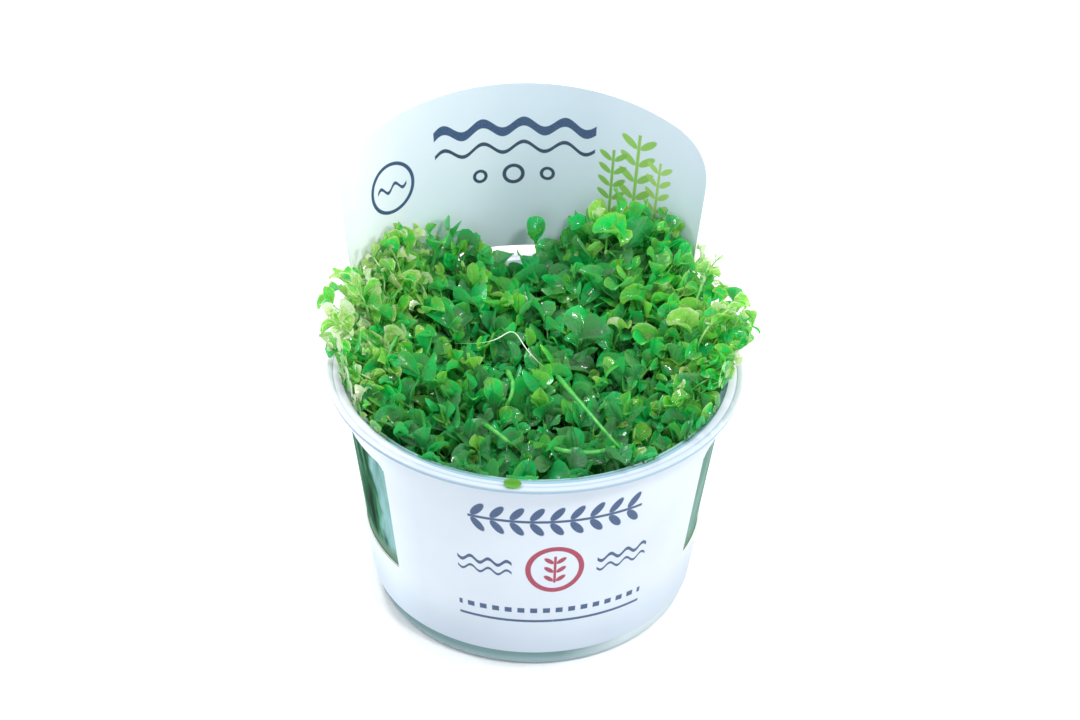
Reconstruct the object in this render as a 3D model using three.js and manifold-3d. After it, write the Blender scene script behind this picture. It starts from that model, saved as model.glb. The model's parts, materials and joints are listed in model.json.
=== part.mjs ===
// Pearlweed grown on jelly in a clear plastic pot with a printed sleeve.
// Millimetres, +Z up, the front faces -Y, and the origin is the centre of the pot's base.
import * as THREE from "three";
import { mergeVertices } from "three/addons/utils/BufferGeometryUtils.js";
import Module from "manifold-3d";

// Sleeve: one thin sheet bent to a cone, with two side windows and an arched tab at the back.
const sleeveBottom = 5.2;
const sleeveTop = 60;
const sleeveRadiusAtTop = 46.9; // outside, at sleeveTop
const taper = 0.1305; // growth of the radius for each millimetre of height
const sheetThickness = 0.5;
const sleeveTurn = 7.5; // degrees, the front panel turned towards +X
const windowBottom = 20.1;
const windowTop = 52.6;
const windowFrontEdge = 56.8; // degrees from the middle of the front panel
const windowBackEdge = 112;
const windowCornerRadius = 3;
const tabTop = 109.3;
const tabHalfAngle = 60.4; // degrees from the middle of the back
const tabArchDrop = 4.9; // how much lower the arch is where its corners start
const tabCornerAngle = 48.6; // degrees, where the corners start
const tabCornerHeight = 16; // from the tab's top down to where its straight sides start
const tabCornerPull = 3.2; // lowers the corner curve's control point, for a rounder corner
const slotTop = 65.8;
const slotHalfAngle = 50.4;
const legBulge = 4.2; // how far the tab's two legs stand out to pass round the flange
const legAngles = [37.5, 45, 60.1, 75]; // degrees from the back: the bulge starts, is full, ends
const legHeights = [51, 59, 64, 71];

// Pot: a thin conical cup with a flat foot and a flange with a turned-down lip.
const potHeight = 62.6;
const potClearance = 0.35; // between the pot's wall and the sleeve
const wallThickness = 0.7;
const floorThickness = 1;
const footRadius = 36.3;
const footRounding = 2.4;
const mouthRadius = 47;
const mouthRounding = 1.6;
const flangeRadius = 50;
const flangeThickness = 0.9;
const lipWidth = 0.8;
const lipBottom = 60.6;

// Jelly and the crowded growth on it.
const contactGap = 0.35;
const jellyTop = 21;
const growthShare = 0.85; // how much of the canopy's rise the crowded growth follows
const growthSetDown = 7;
const growthRadius = 44.1;
const growthEdgeDrop = 3; // at the pot's wall
const lumpHeight = 1.3;

// Sprigs: short stems with spoon-shaped leaves in pairs, each pair across the last.
const sprigCount = 34;
const sprigSpacing = 6.75; // scale of the spiral that sets them out
const goldenAngle = 137.508;
const stemRadius = 0.55;
const socketDepth = 4.5;
const leafLength = 8.4;
const leafWidth = 5.2;
const leafThickness = 0.55;
const leafUnevenness = 16; // degrees between the least and the most raised leaf of a pair
const headSetDown = 3.5; // from the leaf tips down to the end of the stem
const headUnevenness = 3;
const sideLean = 0.1; // share of its radius by which a sprig leans out at the pot's sides
const lowLeafCount = 44; // leaves that grow straight out of the crowded growth
const lowLeafSpacing = 6.1;
const lowLeafLength = 8.5;
const lowLeafElevation = 42;
const lowLeafRoot = 1.6; // how deep its base is in the growth

// Height of the leaf tips over the rim: a gentle rise to the back, and four mounds on it.
const frontHeight = -1;
const riseToBack = 0.06;
const mounds = [
  { x: 25, y: 32, rise: 19, spread: 14 },
  { x: -30, y: 30, rise: 13, spread: 13 },
  { x: -43, y: -3, rise: 13, spread: 13 },
  { x: 43, y: -2, rise: 14, spread: 12 },
];

const segments = 48; // round parts share this, so that their flats lie over each other
const farOut = 70; // past every part, for cutters
const wasm = await Module();
wasm.setup();

const radians = THREE.MathUtils.degToRad;
const smooth = THREE.MathUtils.smoothstep;

function sleeveRadius(z) {
  return sleeveRadiusAtTop + taper * (z - sleeveTop);
}

function potOuterRadius(z) {
  return sleeveRadius(z) - sheetThickness - potClearance;
}

function potInnerRadius(z) {
  return potOuterRadius(z) - wallThickness;
}

// A repeatable number from 0 to 1 for the index-th thing of a kind.
function scatter(index, kind) {
  const wave = Math.sin(index * 12.9898 + kind * 78.233) * 43758.5453;
  return wave - Math.floor(wave);
}

function solidFrom(geometry) {
  const plain = geometry.clone();
  plain.deleteAttribute("normal");
  plain.deleteAttribute("uv");
  const merged = mergeVertices(plain, 1e-4);
  const mesh = new wasm.Mesh({
    numProp: 3,
    vertProperties: new Float32Array(merged.attributes.position.array),
    triVerts: new Uint32Array(merged.index.array),
  });
  return new wasm.Manifold(mesh);
}

function geometryFrom(solid) {
  const { vertProperties, triVerts } = solid.getMesh();
  const indexed = new THREE.BufferGeometry();
  indexed.setAttribute("position", new THREE.BufferAttribute(vertProperties, 3));
  indexed.setIndex(new THREE.BufferAttribute(triVerts, 1));
  const faceted = indexed.toNonIndexed();
  faceted.computeVertexNormals();
  return faceted;
}

// Turns a profile of [radius, height] points round the Z axis.
function turned(profile, count = segments) {
  const points = profile.map(([radius, height]) => new THREE.Vector2(radius, height));
  return new THREE.LatheGeometry(points, count).rotateX(Math.PI / 2);
}

function potGeometry() {
  const footCentre = potOuterRadius(footRounding) - footRounding;
  const footCorner = [0, 45, 90].map((turn) => [
    footCentre + footRounding * Math.sin(radians(turn)),
    footRounding * (1 - Math.cos(radians(turn))),
  ]);
  const mouthLow = potHeight - mouthRounding;
  const flangeUnderside = potHeight - flangeThickness;
  const lipInner = flangeRadius - lipWidth;
  return turned([
    [0, 0],
    ...footCorner,
    [potOuterRadius(flangeUnderside), flangeUnderside],
    [lipInner, flangeUnderside],
    [lipInner, lipBottom],
    [flangeRadius, lipBottom],
    [flangeRadius, potHeight],
    [mouthRadius, potHeight],
    [potInnerRadius(mouthLow), mouthLow],
    [potInnerRadius(footRounding + floorThickness), footRounding + floorThickness],
    [footRadius - floorThickness, floorThickness],
    [0, floorThickness],
  ]);
}

// Pushes the sheet out where the tab's legs pass round the flange.
function bulgeLegs(geometry) {
  const rampUpAndDown = (value, [start, full, ebb, end]) =>
    smooth(value, start, full) * (1 - smooth(value, ebb, end));
  const position = geometry.attributes.position;
  const vertex = new THREE.Vector3();
  for (let i = 0; i < position.count; i++) {
    vertex.fromBufferAttribute(position, i);
    const radius = Math.hypot(vertex.x, vertex.y);
    const fromBack = THREE.MathUtils.radToDeg(Math.abs(Math.atan2(vertex.x, vertex.y)));
    const share = rampUpAndDown(fromBack, legAngles) * rampUpAndDown(vertex.z, legHeights);
    const scale = (radius + legBulge * share) / radius;
    position.setXY(i, vertex.x * scale, vertex.y * scale);
  }
  return geometry;
}

// A cutter that stands on the sleeve's front: its outline is [degrees, height] points,
// which keep their place on the cone when seen from the front. It reaches out past the sheet.
function outlineOnCone(points, azimuth) {
  const shape = new THREE.Shape(
    points.map(([degrees, height]) =>
      new THREE.Vector2(sleeveRadius(height) * Math.sin(radians(degrees)), height),
    ),
  );
  const geometry = new THREE.ExtrudeGeometry(shape, { depth: farOut, bevelEnabled: false });
  return solidFrom(geometry.rotateX(Math.PI / 2).rotateZ(radians(azimuth)));
}

function windowCutter(side) {
  const middle = (windowFrontEdge + windowBackEdge) / 2;
  const half = (windowBackEdge - windowFrontEdge) / 2;
  const roundingAngle = THREE.MathUtils.radToDeg(windowCornerRadius / sleeveRadius(windowTop));
  const points = [[-half, windowBottom], [half, windowBottom]];
  for (const [sign, from, to] of [[1, 0, 90], [-1, 90, 0]]) {
    for (let i = 0; i <= 3; i++) {
      const angle = radians(from + ((to - from) * i) / 3);
      points.push([
        sign * (half - roundingAngle * (1 - Math.cos(angle))),
        windowTop - windowCornerRadius * (1 - Math.sin(angle)),
      ]);
    }
  }
  return outlineOnCone(points, side * middle);
}

// The tab: straight sides, rounded corners and a shallow arch.
function tabCutter() {
  const cornerTop = tabTop - tabArchDrop;
  const sideTop = tabTop - tabCornerHeight;
  const rightCorner = new THREE.QuadraticBezierCurve(
    new THREE.Vector2(tabHalfAngle, sideTop),
    new THREE.Vector2(tabHalfAngle, cornerTop - tabCornerPull),
    new THREE.Vector2(tabCornerAngle, cornerTop),
  ).getPoints(4);
  const arch = [];
  const archSteps = 10;
  for (let i = 1; i < archSteps; i++) {
    const degrees = tabCornerAngle * (1 - (2 * i) / archSteps);
    arch.push([degrees, tabTop - tabArchDrop * (degrees / tabCornerAngle) ** 2]);
  }
  const right = rightCorner.map(({ x, y }) => [x, y]);
  const left = right.map(([degrees, height]) => [-degrees, height]).reverse();
  const foot = sleeveTop - 1;
  return outlineOnCone(
    [[-tabHalfAngle, foot], [tabHalfAngle, foot], ...right, ...arch, ...left],
    180,
  );
}

function sleeveGeometry() {
  const levels = [sleeveBottom, ...legHeights, tabTop + 1];
  const outside = levels.map((z) => [sleeveRadius(z), z]);
  const inside = levels.map((z) => [sleeveRadius(z) - sheetThickness, z]).reverse();
  const shell = solidFrom(bulgeLegs(turned([...outside, ...inside, outside[0]])));
  const bandHeight = sleeveTop - sleeveBottom + 2;
  const band = new THREE.CylinderGeometry(farOut, farOut, bandHeight, 12)
    .rotateX(Math.PI / 2)
    .translate(0, 0, sleeveTop - bandHeight / 2);
  const kept = solidFrom(band).add(tabCutter());
  const slot = outlineOnCone(
    [
      [-slotHalfAngle, sleeveTop],
      [slotHalfAngle, sleeveTop],
      [slotHalfAngle, slotTop],
      [-slotHalfAngle, slotTop],
    ],
    180,
  );
  const sheet = shell.intersect(kept).subtract(slot);
  return geometryFrom(sheet.subtract(windowCutter(1)).subtract(windowCutter(-1)));
}

function jellyGeometry() {
  const bottom = floorThickness + contactGap;
  const shoulder = footRounding + floorThickness + contactGap;
  return turned([
    [0, bottom],
    [footRadius - floorThickness - contactGap, bottom],
    [potInnerRadius(shoulder) - contactGap, shoulder],
    [potInnerRadius(jellyTop) - contactGap, jellyTop],
    [0, jellyTop],
  ], segments / 2);
}

// Height of the leaf tips over the pot's rim at a point of its mouth.
function canopyHeight(x, y) {
  let height = frontHeight + riseToBack * (y + mouthRadius);
  for (const mound of mounds) {
    const away = Math.hypot(x - mound.x, y - mound.y) / mound.spread;
    height += mound.rise * Math.exp(-0.5 * away * away);
  }
  return height;
}

function growthHeight(x, y) {
  const lumps = Math.sin(0.47 * x + 0.9) * Math.cos(0.41 * y) + 0.6 * Math.sin(0.83 * (x - y));
  const rise = growthShare * canopyHeight(x, y) - growthSetDown;
  return potHeight + rise + lumpHeight * lumps;
}

// The crowded lower stems and leaves, as one lumpy solid.
function growthSolid() {
  const bottom = jellyTop + contactGap;
  const topMark = potHeight * 2; // stands for the uneven top, whose heights are set below
  const shoulder = 46;
  const rings = [1, 0.95, 0.8, 0.62, 0.42, 0.2, 0];
  const geometry = turned(
    [
      [0, bottom],
      [potInnerRadius(bottom) - contactGap, bottom],
      [potInnerRadius(shoulder) - 2 * contactGap, shoulder],
      ...rings.map((share) => [growthRadius * share, topMark]),
    ],
    segments / 2,
  );
  const position = geometry.attributes.position;
  for (let i = 0; i < position.count; i++) {
    if (position.getZ(i) < topMark - 1) continue;
    const x = position.getX(i);
    const y = position.getY(i);
    const edge = smooth(Math.hypot(x, y) / growthRadius, rings[1], 1);
    position.setZ(i, growthHeight(x, y) - growthEdgeDrop * edge);
  }
  return solidFrom(geometry);
}

// A cupped spoon-shaped leaf along +X with its base at the origin and its face up.
function leafGeometry(length, width, thickness = leafThickness) {
  const margin = [
    [-0.04, 0, 0],
    [0.5, 0.5, 0.08],
    [0.95, 0.26, -0.02],
    [0.95, -0.26, -0.02],
    [0.5, -0.5, 0.08],
  ].map(([along, across, up]) => [along * length, across * width, up * length]);
  const middleX = 0.6 * length;
  const middleZ = -0.05 * length;
  const upper = margin.length;
  const lower = upper + 1;
  const faces = [];
  for (let i = 0; i < margin.length; i++) {
    const next = (i + 1) % margin.length;
    faces.push(next, i, upper, i, next, lower);
  }
  const corners = [
    ...margin,
    [middleX, 0, middleZ + thickness / 2],
    [middleX, 0, middleZ - thickness / 2],
  ];
  const geometry = new THREE.BufferGeometry();
  geometry.setAttribute("position", new THREE.Float32BufferAttribute(corners.flat(), 3));
  geometry.setIndex(faces);
  return geometry;
}

// A leaf at a point: azimuth in degrees from +X, elevation in degrees over the level.
// A spare margin makes it larger all round, to test that it keeps its distance.
function leafSolid({ at, azimuth, elevation, length, width }, spare = 0) {
  const geometry = leafGeometry(length + spare, width + 2 * spare, leafThickness + 2 * spare)
    .rotateY(-radians(elevation))
    .rotateZ(radians(azimuth))
    .translate(at.x, at.y, at.z);
  return solidFrom(geometry);
}

// A bent stem with three flat sides, along a curve.
function stemSolid(path, spare = 0) {
  const section = new THREE.Shape(
    [0, 120, 240].map((turn) =>
      new THREE.Vector2(stemRadius + 2 * spare, 0).rotateAround(new THREE.Vector2(), radians(turn)),
    ),
  );
  return solidFrom(new THREE.ExtrudeGeometry(section, { steps: 3, extrudePath: path }));
}

// The room that a sprig's stem takes in the crowded growth, with a gap round it and under it.
function socketSolid([root, ...bend]) {
  const deeper = root.clone().setZ(root.z - contactGap);
  return stemSolid(new THREE.CatmullRomCurve3([deeper, ...bend]), contactGap);
}

function boxesMeet(a, b) {
  return [0, 1, 2].every((axis) => a.min[axis] < b.max[axis] && b.min[axis] < a.max[axis]);
}

// Turns a leaf little by little until it is clear of all that is placed, or gives nothing.
function clearLeaf(leaf, owner, placed) {
  for (const turn of [0, 25, -25, 50, -50]) {
    for (const lift of [0, 15, -15]) {
      const tried = { ...leaf, azimuth: leaf.azimuth + turn, elevation: leaf.elevation + lift };
      const large = leafSolid(tried, contactGap);
      const box = large.boundingBox();
      const meets = ({ owner: other, solid, bounds }) =>
        other !== owner && boxesMeet(box, bounds) && !large.intersect(solid).isEmpty();
      if (!placed.some(meets)) return leafSolid(tried);
    }
  }
  return null;
}

// The sprigs stand on a spiral like a sunflower's seeds, and lean out at the pot's sides.
function crowdedSprig(index) {
  const radius = sprigSpacing * Math.sqrt(index + 0.5);
  const angle = radians(index * goldenAngle);
  const x = radius * Math.cos(angle);
  const y = radius * Math.sin(angle);
  const root = new THREE.Vector3(x, y, growthHeight(x, y) - socketDepth);
  const lean = sideLean * Math.cos(angle) ** 2;
  const uneven = headUnevenness * (scatter(index, 1) - 0.5);
  const tip = potHeight + canopyHeight(x, y) - headSetDown + uneven;
  const bend = [
    root,
    new THREE.Vector3(x, y, root.z + socketDepth),
    new THREE.Vector3(x * (1 + 0.4 * lean), y * (1 + 0.4 * lean), 0.3 * root.z + 0.7 * tip),
    new THREE.Vector3(x * (1 + lean), y * (1 + lean), tip),
  ];
  const turn = 360 * scatter(index, 2);
  const leaves = [];
  for (const [pair, along, elevation, scale] of [
    [0, 0.75, 26, 0.95],
    [1, 0.98, 46, 0.9],
  ]) {
    for (const side of [0, 180]) {
      leaves.push({
        along,
        azimuth: turn + 90 * pair + side,
        elevation: elevation + leafUnevenness * (scatter(index, 3 + pair + side) - 0.5),
        length: leafLength * scale,
        width: leafWidth * scale,
      });
    }
  }
  return { name: `sprig_${String(index + 1).padStart(2, "0")}`, bend, leaves };
}

// Sprigs set by hand, which stand out of the rest: the points that each bends through over
// its socket, and its leaves.
const outstanding = [
  {
    name: "upright_sprig",
    over: [[0, 38.5, 67], [-0.5, 39.5, 71]],
    leaves: [
      { along: 0.98, azimuth: 80, elevation: 82, length: 7.4, width: 3.6 },
      { along: 0.8, azimuth: 200, elevation: 35, length: 5.5, width: 3.4 },
    ],
  },
  {
    name: "stray_sprig",
    over: [[41, -3, 76], [46.6, -3, 82]],
    leaves: [
      { along: 0.98, azimuth: 0, elevation: 20, length: 6, width: 3.8 },
      { along: 0.85, azimuth: -80, elevation: 30, length: 5.5, width: 3.4 },
      { along: 0.85, azimuth: 100, elevation: 30, length: 5.5, width: 3.4 },
    ],
  },
  {
    name: "tall_right_sprig",
    over: [[40, 12, 79], [42.5, 12.5, 84]],
    leaves: [
      { along: 0.98, azimuth: 10, elevation: 50, length: 5, width: 3 },
      { along: 0.98, azimuth: 200, elevation: 50, length: 5, width: 3 },
      { along: 0.8, azimuth: -60, elevation: 35, length: 6, width: 3.6 },
      { along: 0.8, azimuth: 110, elevation: 35, length: 5, width: 3.2 },
    ],
  },
  {
    name: "tall_left_sprig",
    over: [[-42, 7, 76], [-46.5, 8, 80.5]],
    leaves: [
      { along: 0.98, azimuth: 160, elevation: 60, length: 6, width: 3.2 },
      { along: 0.98, azimuth: -20, elevation: 50, length: 5, width: 3 },
      { along: 0.8, azimuth: 250, elevation: 30, length: 6, width: 3.6 },
      { along: 0.8, azimuth: 70, elevation: 35, length: 6, width: 3.4 },
    ],
  },
  {
    name: "drooping_sprig",
    over: [[-42.5, -6, 68.5], [-47, -6.5, 69]],
    leaves: [
      { along: 0.98, azimuth: 187, elevation: -50, length: 7.4, width: 3.8 },
      { along: 0.9, azimuth: 100, elevation: 20, length: 5.5, width: 3.2 },
      { along: 0.9, azimuth: 260, elevation: 10, length: 5.5, width: 3.2 },
    ],
  },
];

function outstandingSprig({ name, over, leaves }) {
  const [x, y] = over[0].map((value) => 0.93 * value);
  const root = new THREE.Vector3(x, y, growthHeight(x, y) - socketDepth);
  const collar = new THREE.Vector3(x, y, root.z + socketDepth);
  return { name, bend: [root, collar, ...over.map((point) => new THREE.Vector3(...point))], leaves };
}

function named(name, geometry, material) {
  const mesh = new THREE.Mesh(geometry, material);
  mesh.name = name;
  return mesh;
}

const clearPlastic = new THREE.MeshStandardMaterial({
  color: 0xdfe9ee, roughness: 0.12, metalness: 0, transparent: true, opacity: 0.35,
});
const coatedCard = new THREE.MeshStandardMaterial({ color: 0xe9f0f6, roughness: 0.45, metalness: 0 });
const nutrientJelly = new THREE.MeshStandardMaterial({
  color: 0x9fb8ae, roughness: 0.2, metalness: 0, transparent: true, opacity: 0.7,
});
const shadedGreen = new THREE.MeshStandardMaterial({ color: 0x2c6a2c, roughness: 0.5, metalness: 0 });
const leafGreen = new THREE.MeshStandardMaterial({ color: 0x2fa53c, roughness: 0.35, metalness: 0 });
const limeGreen = new THREE.MeshStandardMaterial({ color: 0x8fce2a, roughness: 0.35, metalness: 0 });

const pearlweed = new THREE.Group();
const pot = named("pot", potGeometry(), clearPlastic);
const sleeve = named("sleeve", sleeveGeometry(), coatedCard);
sleeve.rotation.z = radians(sleeveTurn);
pearlweed.add(pot, sleeve, named("jelly", jellyGeometry(), nutrientJelly));

// Every solid that leaves keep clear of, with the sprig that it belongs to.
const placed = [];
function place(solid, owner) {
  placed.push({ owner, solid, bounds: solid.boundingBox() });
  return solid;
}

place(solidFrom(pot.geometry), "pot");
place(solidFrom(sleeve.geometry.clone().rotateZ(sleeve.rotation.z)), "sleeve");
let growth = place(growthSolid(), "undergrowth");

const looseLeaf = leafGeometry(4.4, 3.8).rotateX(radians(8)).translate(-6.8, -48.6, 63.1);
pearlweed.add(named("loose_leaf", looseLeaf, limeGreen));
place(solidFrom(looseLeaf), "loose_leaf");

const sprigs = [
  ...outstanding.map(outstandingSprig),
  ...Array.from({ length: sprigCount }, (_, index) => crowdedSprig(index)),
];
for (const sprig of sprigs) {
  sprig.path = new THREE.CatmullRomCurve3(sprig.bend);
  sprig.solid = place(stemSolid(sprig.path), sprig.name);
}
for (const { name, path, leaves, solid: stem } of sprigs) {
  let solid = stem;
  for (const leaf of leaves) {
    const clear = clearLeaf({ ...leaf, at: path.getPoint(leaf.along) }, name, placed);
    if (clear) solid = solid.add(place(clear, name));
  }
  pearlweed.add(named(name, geometryFrom(solid), leafGreen));
}

// Low leaves joined to the crowded growth, between the sprigs' sockets.
for (const { bend } of sprigs) {
  growth = growth.subtract(place(socketSolid(bend), "socket"));
}
for (let index = 0; index < lowLeafCount; index++) {
  const radius = lowLeafSpacing * Math.sqrt(index + 0.9);
  const angle = radians((index + 0.5) * goldenAngle);
  const at = new THREE.Vector3(radius * Math.cos(angle), radius * Math.sin(angle), 0);
  at.z = growthHeight(at.x, at.y) - lowLeafRoot;
  const azimuth = 360 * scatter(index, 20);
  const leaf = {
    at,
    azimuth,
    elevation: lowLeafElevation,
    length: lowLeafLength,
    width: leafWidth,
  };
  const clear = clearLeaf(leaf, "undergrowth", placed);
  if (clear && !clear.intersect(growth).isEmpty()) {
    growth = growth.add(place(clear, "undergrowth"));
  }
}
pearlweed.add(named("undergrowth", geometryFrom(growth), shadedGreen));

export default pearlweed;
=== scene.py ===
# Pearlweed on jelly in a clear plastic pot with a printed sleeve.
# Named sizes are in millimetres and degrees, and become metres where a mesh is made.
import json
import math
import random

import bmesh
import bpy
import numpy as np
from mathutils import Matrix, Vector

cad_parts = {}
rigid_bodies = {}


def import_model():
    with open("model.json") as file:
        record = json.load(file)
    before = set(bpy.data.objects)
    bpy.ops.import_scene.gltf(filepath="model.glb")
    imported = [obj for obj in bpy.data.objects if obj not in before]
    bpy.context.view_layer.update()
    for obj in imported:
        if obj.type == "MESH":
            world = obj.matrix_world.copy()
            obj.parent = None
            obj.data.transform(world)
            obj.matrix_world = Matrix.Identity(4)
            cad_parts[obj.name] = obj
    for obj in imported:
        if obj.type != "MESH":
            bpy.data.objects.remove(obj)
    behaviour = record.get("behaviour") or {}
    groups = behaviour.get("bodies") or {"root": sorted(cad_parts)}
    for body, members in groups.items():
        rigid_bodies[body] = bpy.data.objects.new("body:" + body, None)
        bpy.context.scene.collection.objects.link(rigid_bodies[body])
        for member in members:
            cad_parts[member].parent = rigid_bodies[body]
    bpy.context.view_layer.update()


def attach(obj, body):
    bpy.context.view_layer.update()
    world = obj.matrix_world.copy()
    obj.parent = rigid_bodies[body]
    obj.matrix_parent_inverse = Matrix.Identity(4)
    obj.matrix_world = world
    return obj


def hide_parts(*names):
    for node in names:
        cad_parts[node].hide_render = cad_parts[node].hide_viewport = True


mm = 0.001
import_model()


def linearColour(hexCode):
    channels = [int(hexCode[i : i + 2], 16) / 255 for i in (1, 3, 5)]
    return [c / 12.92 if c <= 0.04045 else ((c + 0.055) / 1.055) ** 2.4 for c in channels] + [1]


# Adds a node. Its values are keyed by socket, or follow its inputs in use: for a map range the
# value, its two ends and the two that they become, and for a mix the share and both colours.
# A value that is a socket or a node is linked, and a node stands for its first output in use.
def addNode(tree, kind, values=(), stops=(), **settings):
    node = tree.nodes.new(kind)
    for name, value in settings.items():
        setattr(node, name, value)
    if isinstance(values, dict):
        chosen = [(node.inputs[key], value) for key, value in values.items()]
    else:
        chosen = list(zip([socket for socket in node.inputs if socket.enabled], values))
    for socket, value in chosen:
        if isinstance(value, bpy.types.Node):
            value = next(output for output in value.outputs if output.enabled)
        if isinstance(value, bpy.types.NodeSocket):
            tree.links.new(value, socket)
        else:
            socket.default_value = value
    if stops:
        ramp = node.color_ramp
        while len(ramp.elements) < len(stops):
            ramp.elements.new(0.5)
        for element, (position, hexCode) in zip(ramp.elements, stops):
            element.position = position
            element.color = linearColour(hexCode)
    return node


def newMaterial(name):
    material = bpy.data.materials.new(name)
    material.use_nodes = True
    tree = material.node_tree
    tree.nodes.clear()
    place = addNode(tree, "ShaderNodeTexCoord").outputs["Object"]
    return material, tree, place


def smoothStep(value, low, high):
    share = min(max((value - low) / (high - low), 0), 1)
    return share * share * (3 - 2 * share)


# The camera stands where the photograph was taken from.
cameraPlan = {
    "lens": 86.67,
    "place": (1.14, -512.57, 417.09),
    "right": (0.99977, 0.01230, 0.01780),
    "up": (-0.02164, 0.56829, 0.82255),
}


def makeCamera(plan):
    data = bpy.data.cameras.new("camera")
    data.lens = plan["lens"]
    camera = bpy.data.objects.new("camera", data)
    right, up = Vector(plan["right"]), Vector(plan["up"])
    turn = Matrix((right, up, right.cross(up))).transposed().to_4x4()
    camera.matrix_world = Matrix.Translation(Vector(plan["place"]) * mm) @ turn
    bpy.context.scene.collection.objects.link(camera)
    bpy.context.scene.camera = camera


makeCamera(cameraPlan)
print("camera placed")


# The studio: a white sky that darkens to the horizon, five soft lamps and a pale floor.
studio = {
    "skyStops": [(0.0, "#8D959B"), (0.5, "#A6AEB5"), (0.64, "#D5DBE1"), (1.0, "#FFFFFF")],
    "skyStrength": 0.95,
    "lamps": [
        {"name": "key", "place": (260, -380, 700), "size": 120, "power": 2.6, "colour": "#FFFDFA"},
        {"name": "back", "place": (-260, 420, 640), "size": 150, "power": 2.4, "colour": "#FFFFFF"},
        {"name": "front", "place": (-160, -900, 300), "size": 500, "power": 1.0, "colour": "#F2F7FF"},
        {"name": "right", "place": (700, -60, 480), "size": 150, "power": 2.1, "colour": "#FFFFFF"},
        {"name": "left", "place": (-540, 40, 620), "size": 220, "power": 1.3, "colour": "#FFFFFF"},
    ],
    "lampAim": (0, 0, 50),
    "floorSize": 6000,
    "floorDrop": 0.1,
    "floorStops": [(0.3, "#F4F5F6"), (0.7, "#F7F8F8")],
    "floorRoughness": 0.7,
    "speckSize": 1.5,
}


def makeSky(plan):
    world = bpy.data.worlds.new("studio")
    world.use_nodes = True
    tree = world.node_tree
    tree.nodes.clear()
    direction = addNode(tree, "ShaderNodeTexCoord").outputs["Generated"]
    rise = addNode(tree, "ShaderNodeSeparateXYZ", {"Vector": direction}).outputs["Z"]
    share = addNode(tree, "ShaderNodeMapRange", (rise, -1, 1))
    colour = addNode(tree, "ShaderNodeValToRGB", {"Fac": share}, plan["skyStops"])
    background = addNode(tree, "ShaderNodeBackground", {"Color": colour, "Strength": plan["skyStrength"]})
    addNode(tree, "ShaderNodeOutputWorld", {"Surface": background})
    bpy.context.scene.world = world


def makeLamps(plan):
    for lamp in plan["lamps"]:
        data = bpy.data.lights.new(lamp["name"], "AREA")
        data.size = lamp["size"] * mm
        data.energy = lamp["power"]
        data.color = linearColour(lamp["colour"])[:3]
        light = bpy.data.objects.new(lamp["name"], data)
        light.location = Vector(lamp["place"]) * mm
        aim = Vector(plan["lampAim"]) - Vector(lamp["place"])
        light.rotation_euler = aim.to_track_quat("-Z", "Y").to_euler()
        bpy.context.scene.collection.objects.link(light)


# Matt lacquered board: nearly white, with a faint unevenness.
def makeFloor(plan):
    material, tree, place = newMaterial("mattLacqueredBoard")
    speck = addNode(tree, "ShaderNodeTexNoise", (place, 1 / (plan["speckSize"] * mm)))
    colour = addNode(tree, "ShaderNodeValToRGB", {"Fac": speck}, plan["floorStops"])
    values = {"Base Color": colour, "Roughness": plan["floorRoughness"]}
    surface = addNode(tree, "ShaderNodeBsdfPrincipled", values)
    addNode(tree, "ShaderNodeOutputMaterial", {"Surface": surface})
    half = plan["floorSize"] / 2 * mm
    drop = -plan["floorDrop"] * mm
    corners = [(-half, -half, drop), (half, -half, drop), (half, half, drop), (-half, half, drop)]
    mesh = bpy.data.meshes.new("floor")
    mesh.from_pydata(corners, [], [(0, 1, 2, 3)])
    mesh.materials.append(material)
    floor = bpy.data.objects.new("floor", mesh)
    bpy.context.scene.collection.objects.link(floor)


bpy.context.scene.view_settings.view_transform = "Standard"
makeSky(studio)
makeLamps(studio)
makeFloor(studio)
print("studio made")


# The mesh that an object's modifiers give, under the old mesh's name. The object goes.
def finishedMesh(item):
    plain = item.data
    depsgraph = bpy.context.evaluated_depsgraph_get()
    made = bpy.data.meshes.new_from_object(
        item.evaluated_get(depsgraph), preserve_all_data_layers=True, depsgraph=depsgraph,
    )
    name = plain.name
    bpy.data.objects.remove(item)
    bpy.data.meshes.remove(plain)
    made.name = name
    return made


# A finished piece: its mesh is in millimetres here, and its object stays at the origin.
def addPiece(name, mesh, materials, nodes, scale=mm, sharpAngle=None):
    if scale != 1:
        mesh.transform(Matrix.Scale(scale, 4))
    if sharpAngle:
        mesh.set_sharp_from_angle(angle=math.radians(sharpAngle))
    for material in materials:
        mesh.materials.append(material)
    piece = bpy.data.objects.new(name, mesh)
    bpy.context.scene.collection.objects.link(piece)
    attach(piece, "root")
    if nodes:
        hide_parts(*nodes)
    return piece


# Turns a profile of (radius, height) points round the Z axis. A point at radius 0 is one pole.
def turnedMesh(name, profile, count):
    mesh = bmesh.new()
    rings = []
    for radius, height in profile:
        if radius == 0:
            rings.append([mesh.verts.new((0, 0, height))])
            continue
        ring = []
        for i in range(count):
            turn = 2 * math.pi * i / count
            ring.append(mesh.verts.new((radius * math.cos(turn), radius * math.sin(turn), height)))
        rings.append(ring)
    for lower, upper in zip(rings, rings[1:]):
        for i in range(count):
            j = (i + 1) % count
            below = [lower[i % len(lower)], lower[j % len(lower)]]
            above = [upper[j % len(upper)], upper[i % len(upper)]]
            mesh.faces.new(dict.fromkeys(below + above))
    for face in mesh.faces:
        face.smooth = True
    bmesh.ops.recalc_face_normals(mesh, faces=mesh.faces)
    made = bpy.data.meshes.new(name)
    mesh.to_mesh(made)
    mesh.free()
    return made


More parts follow.
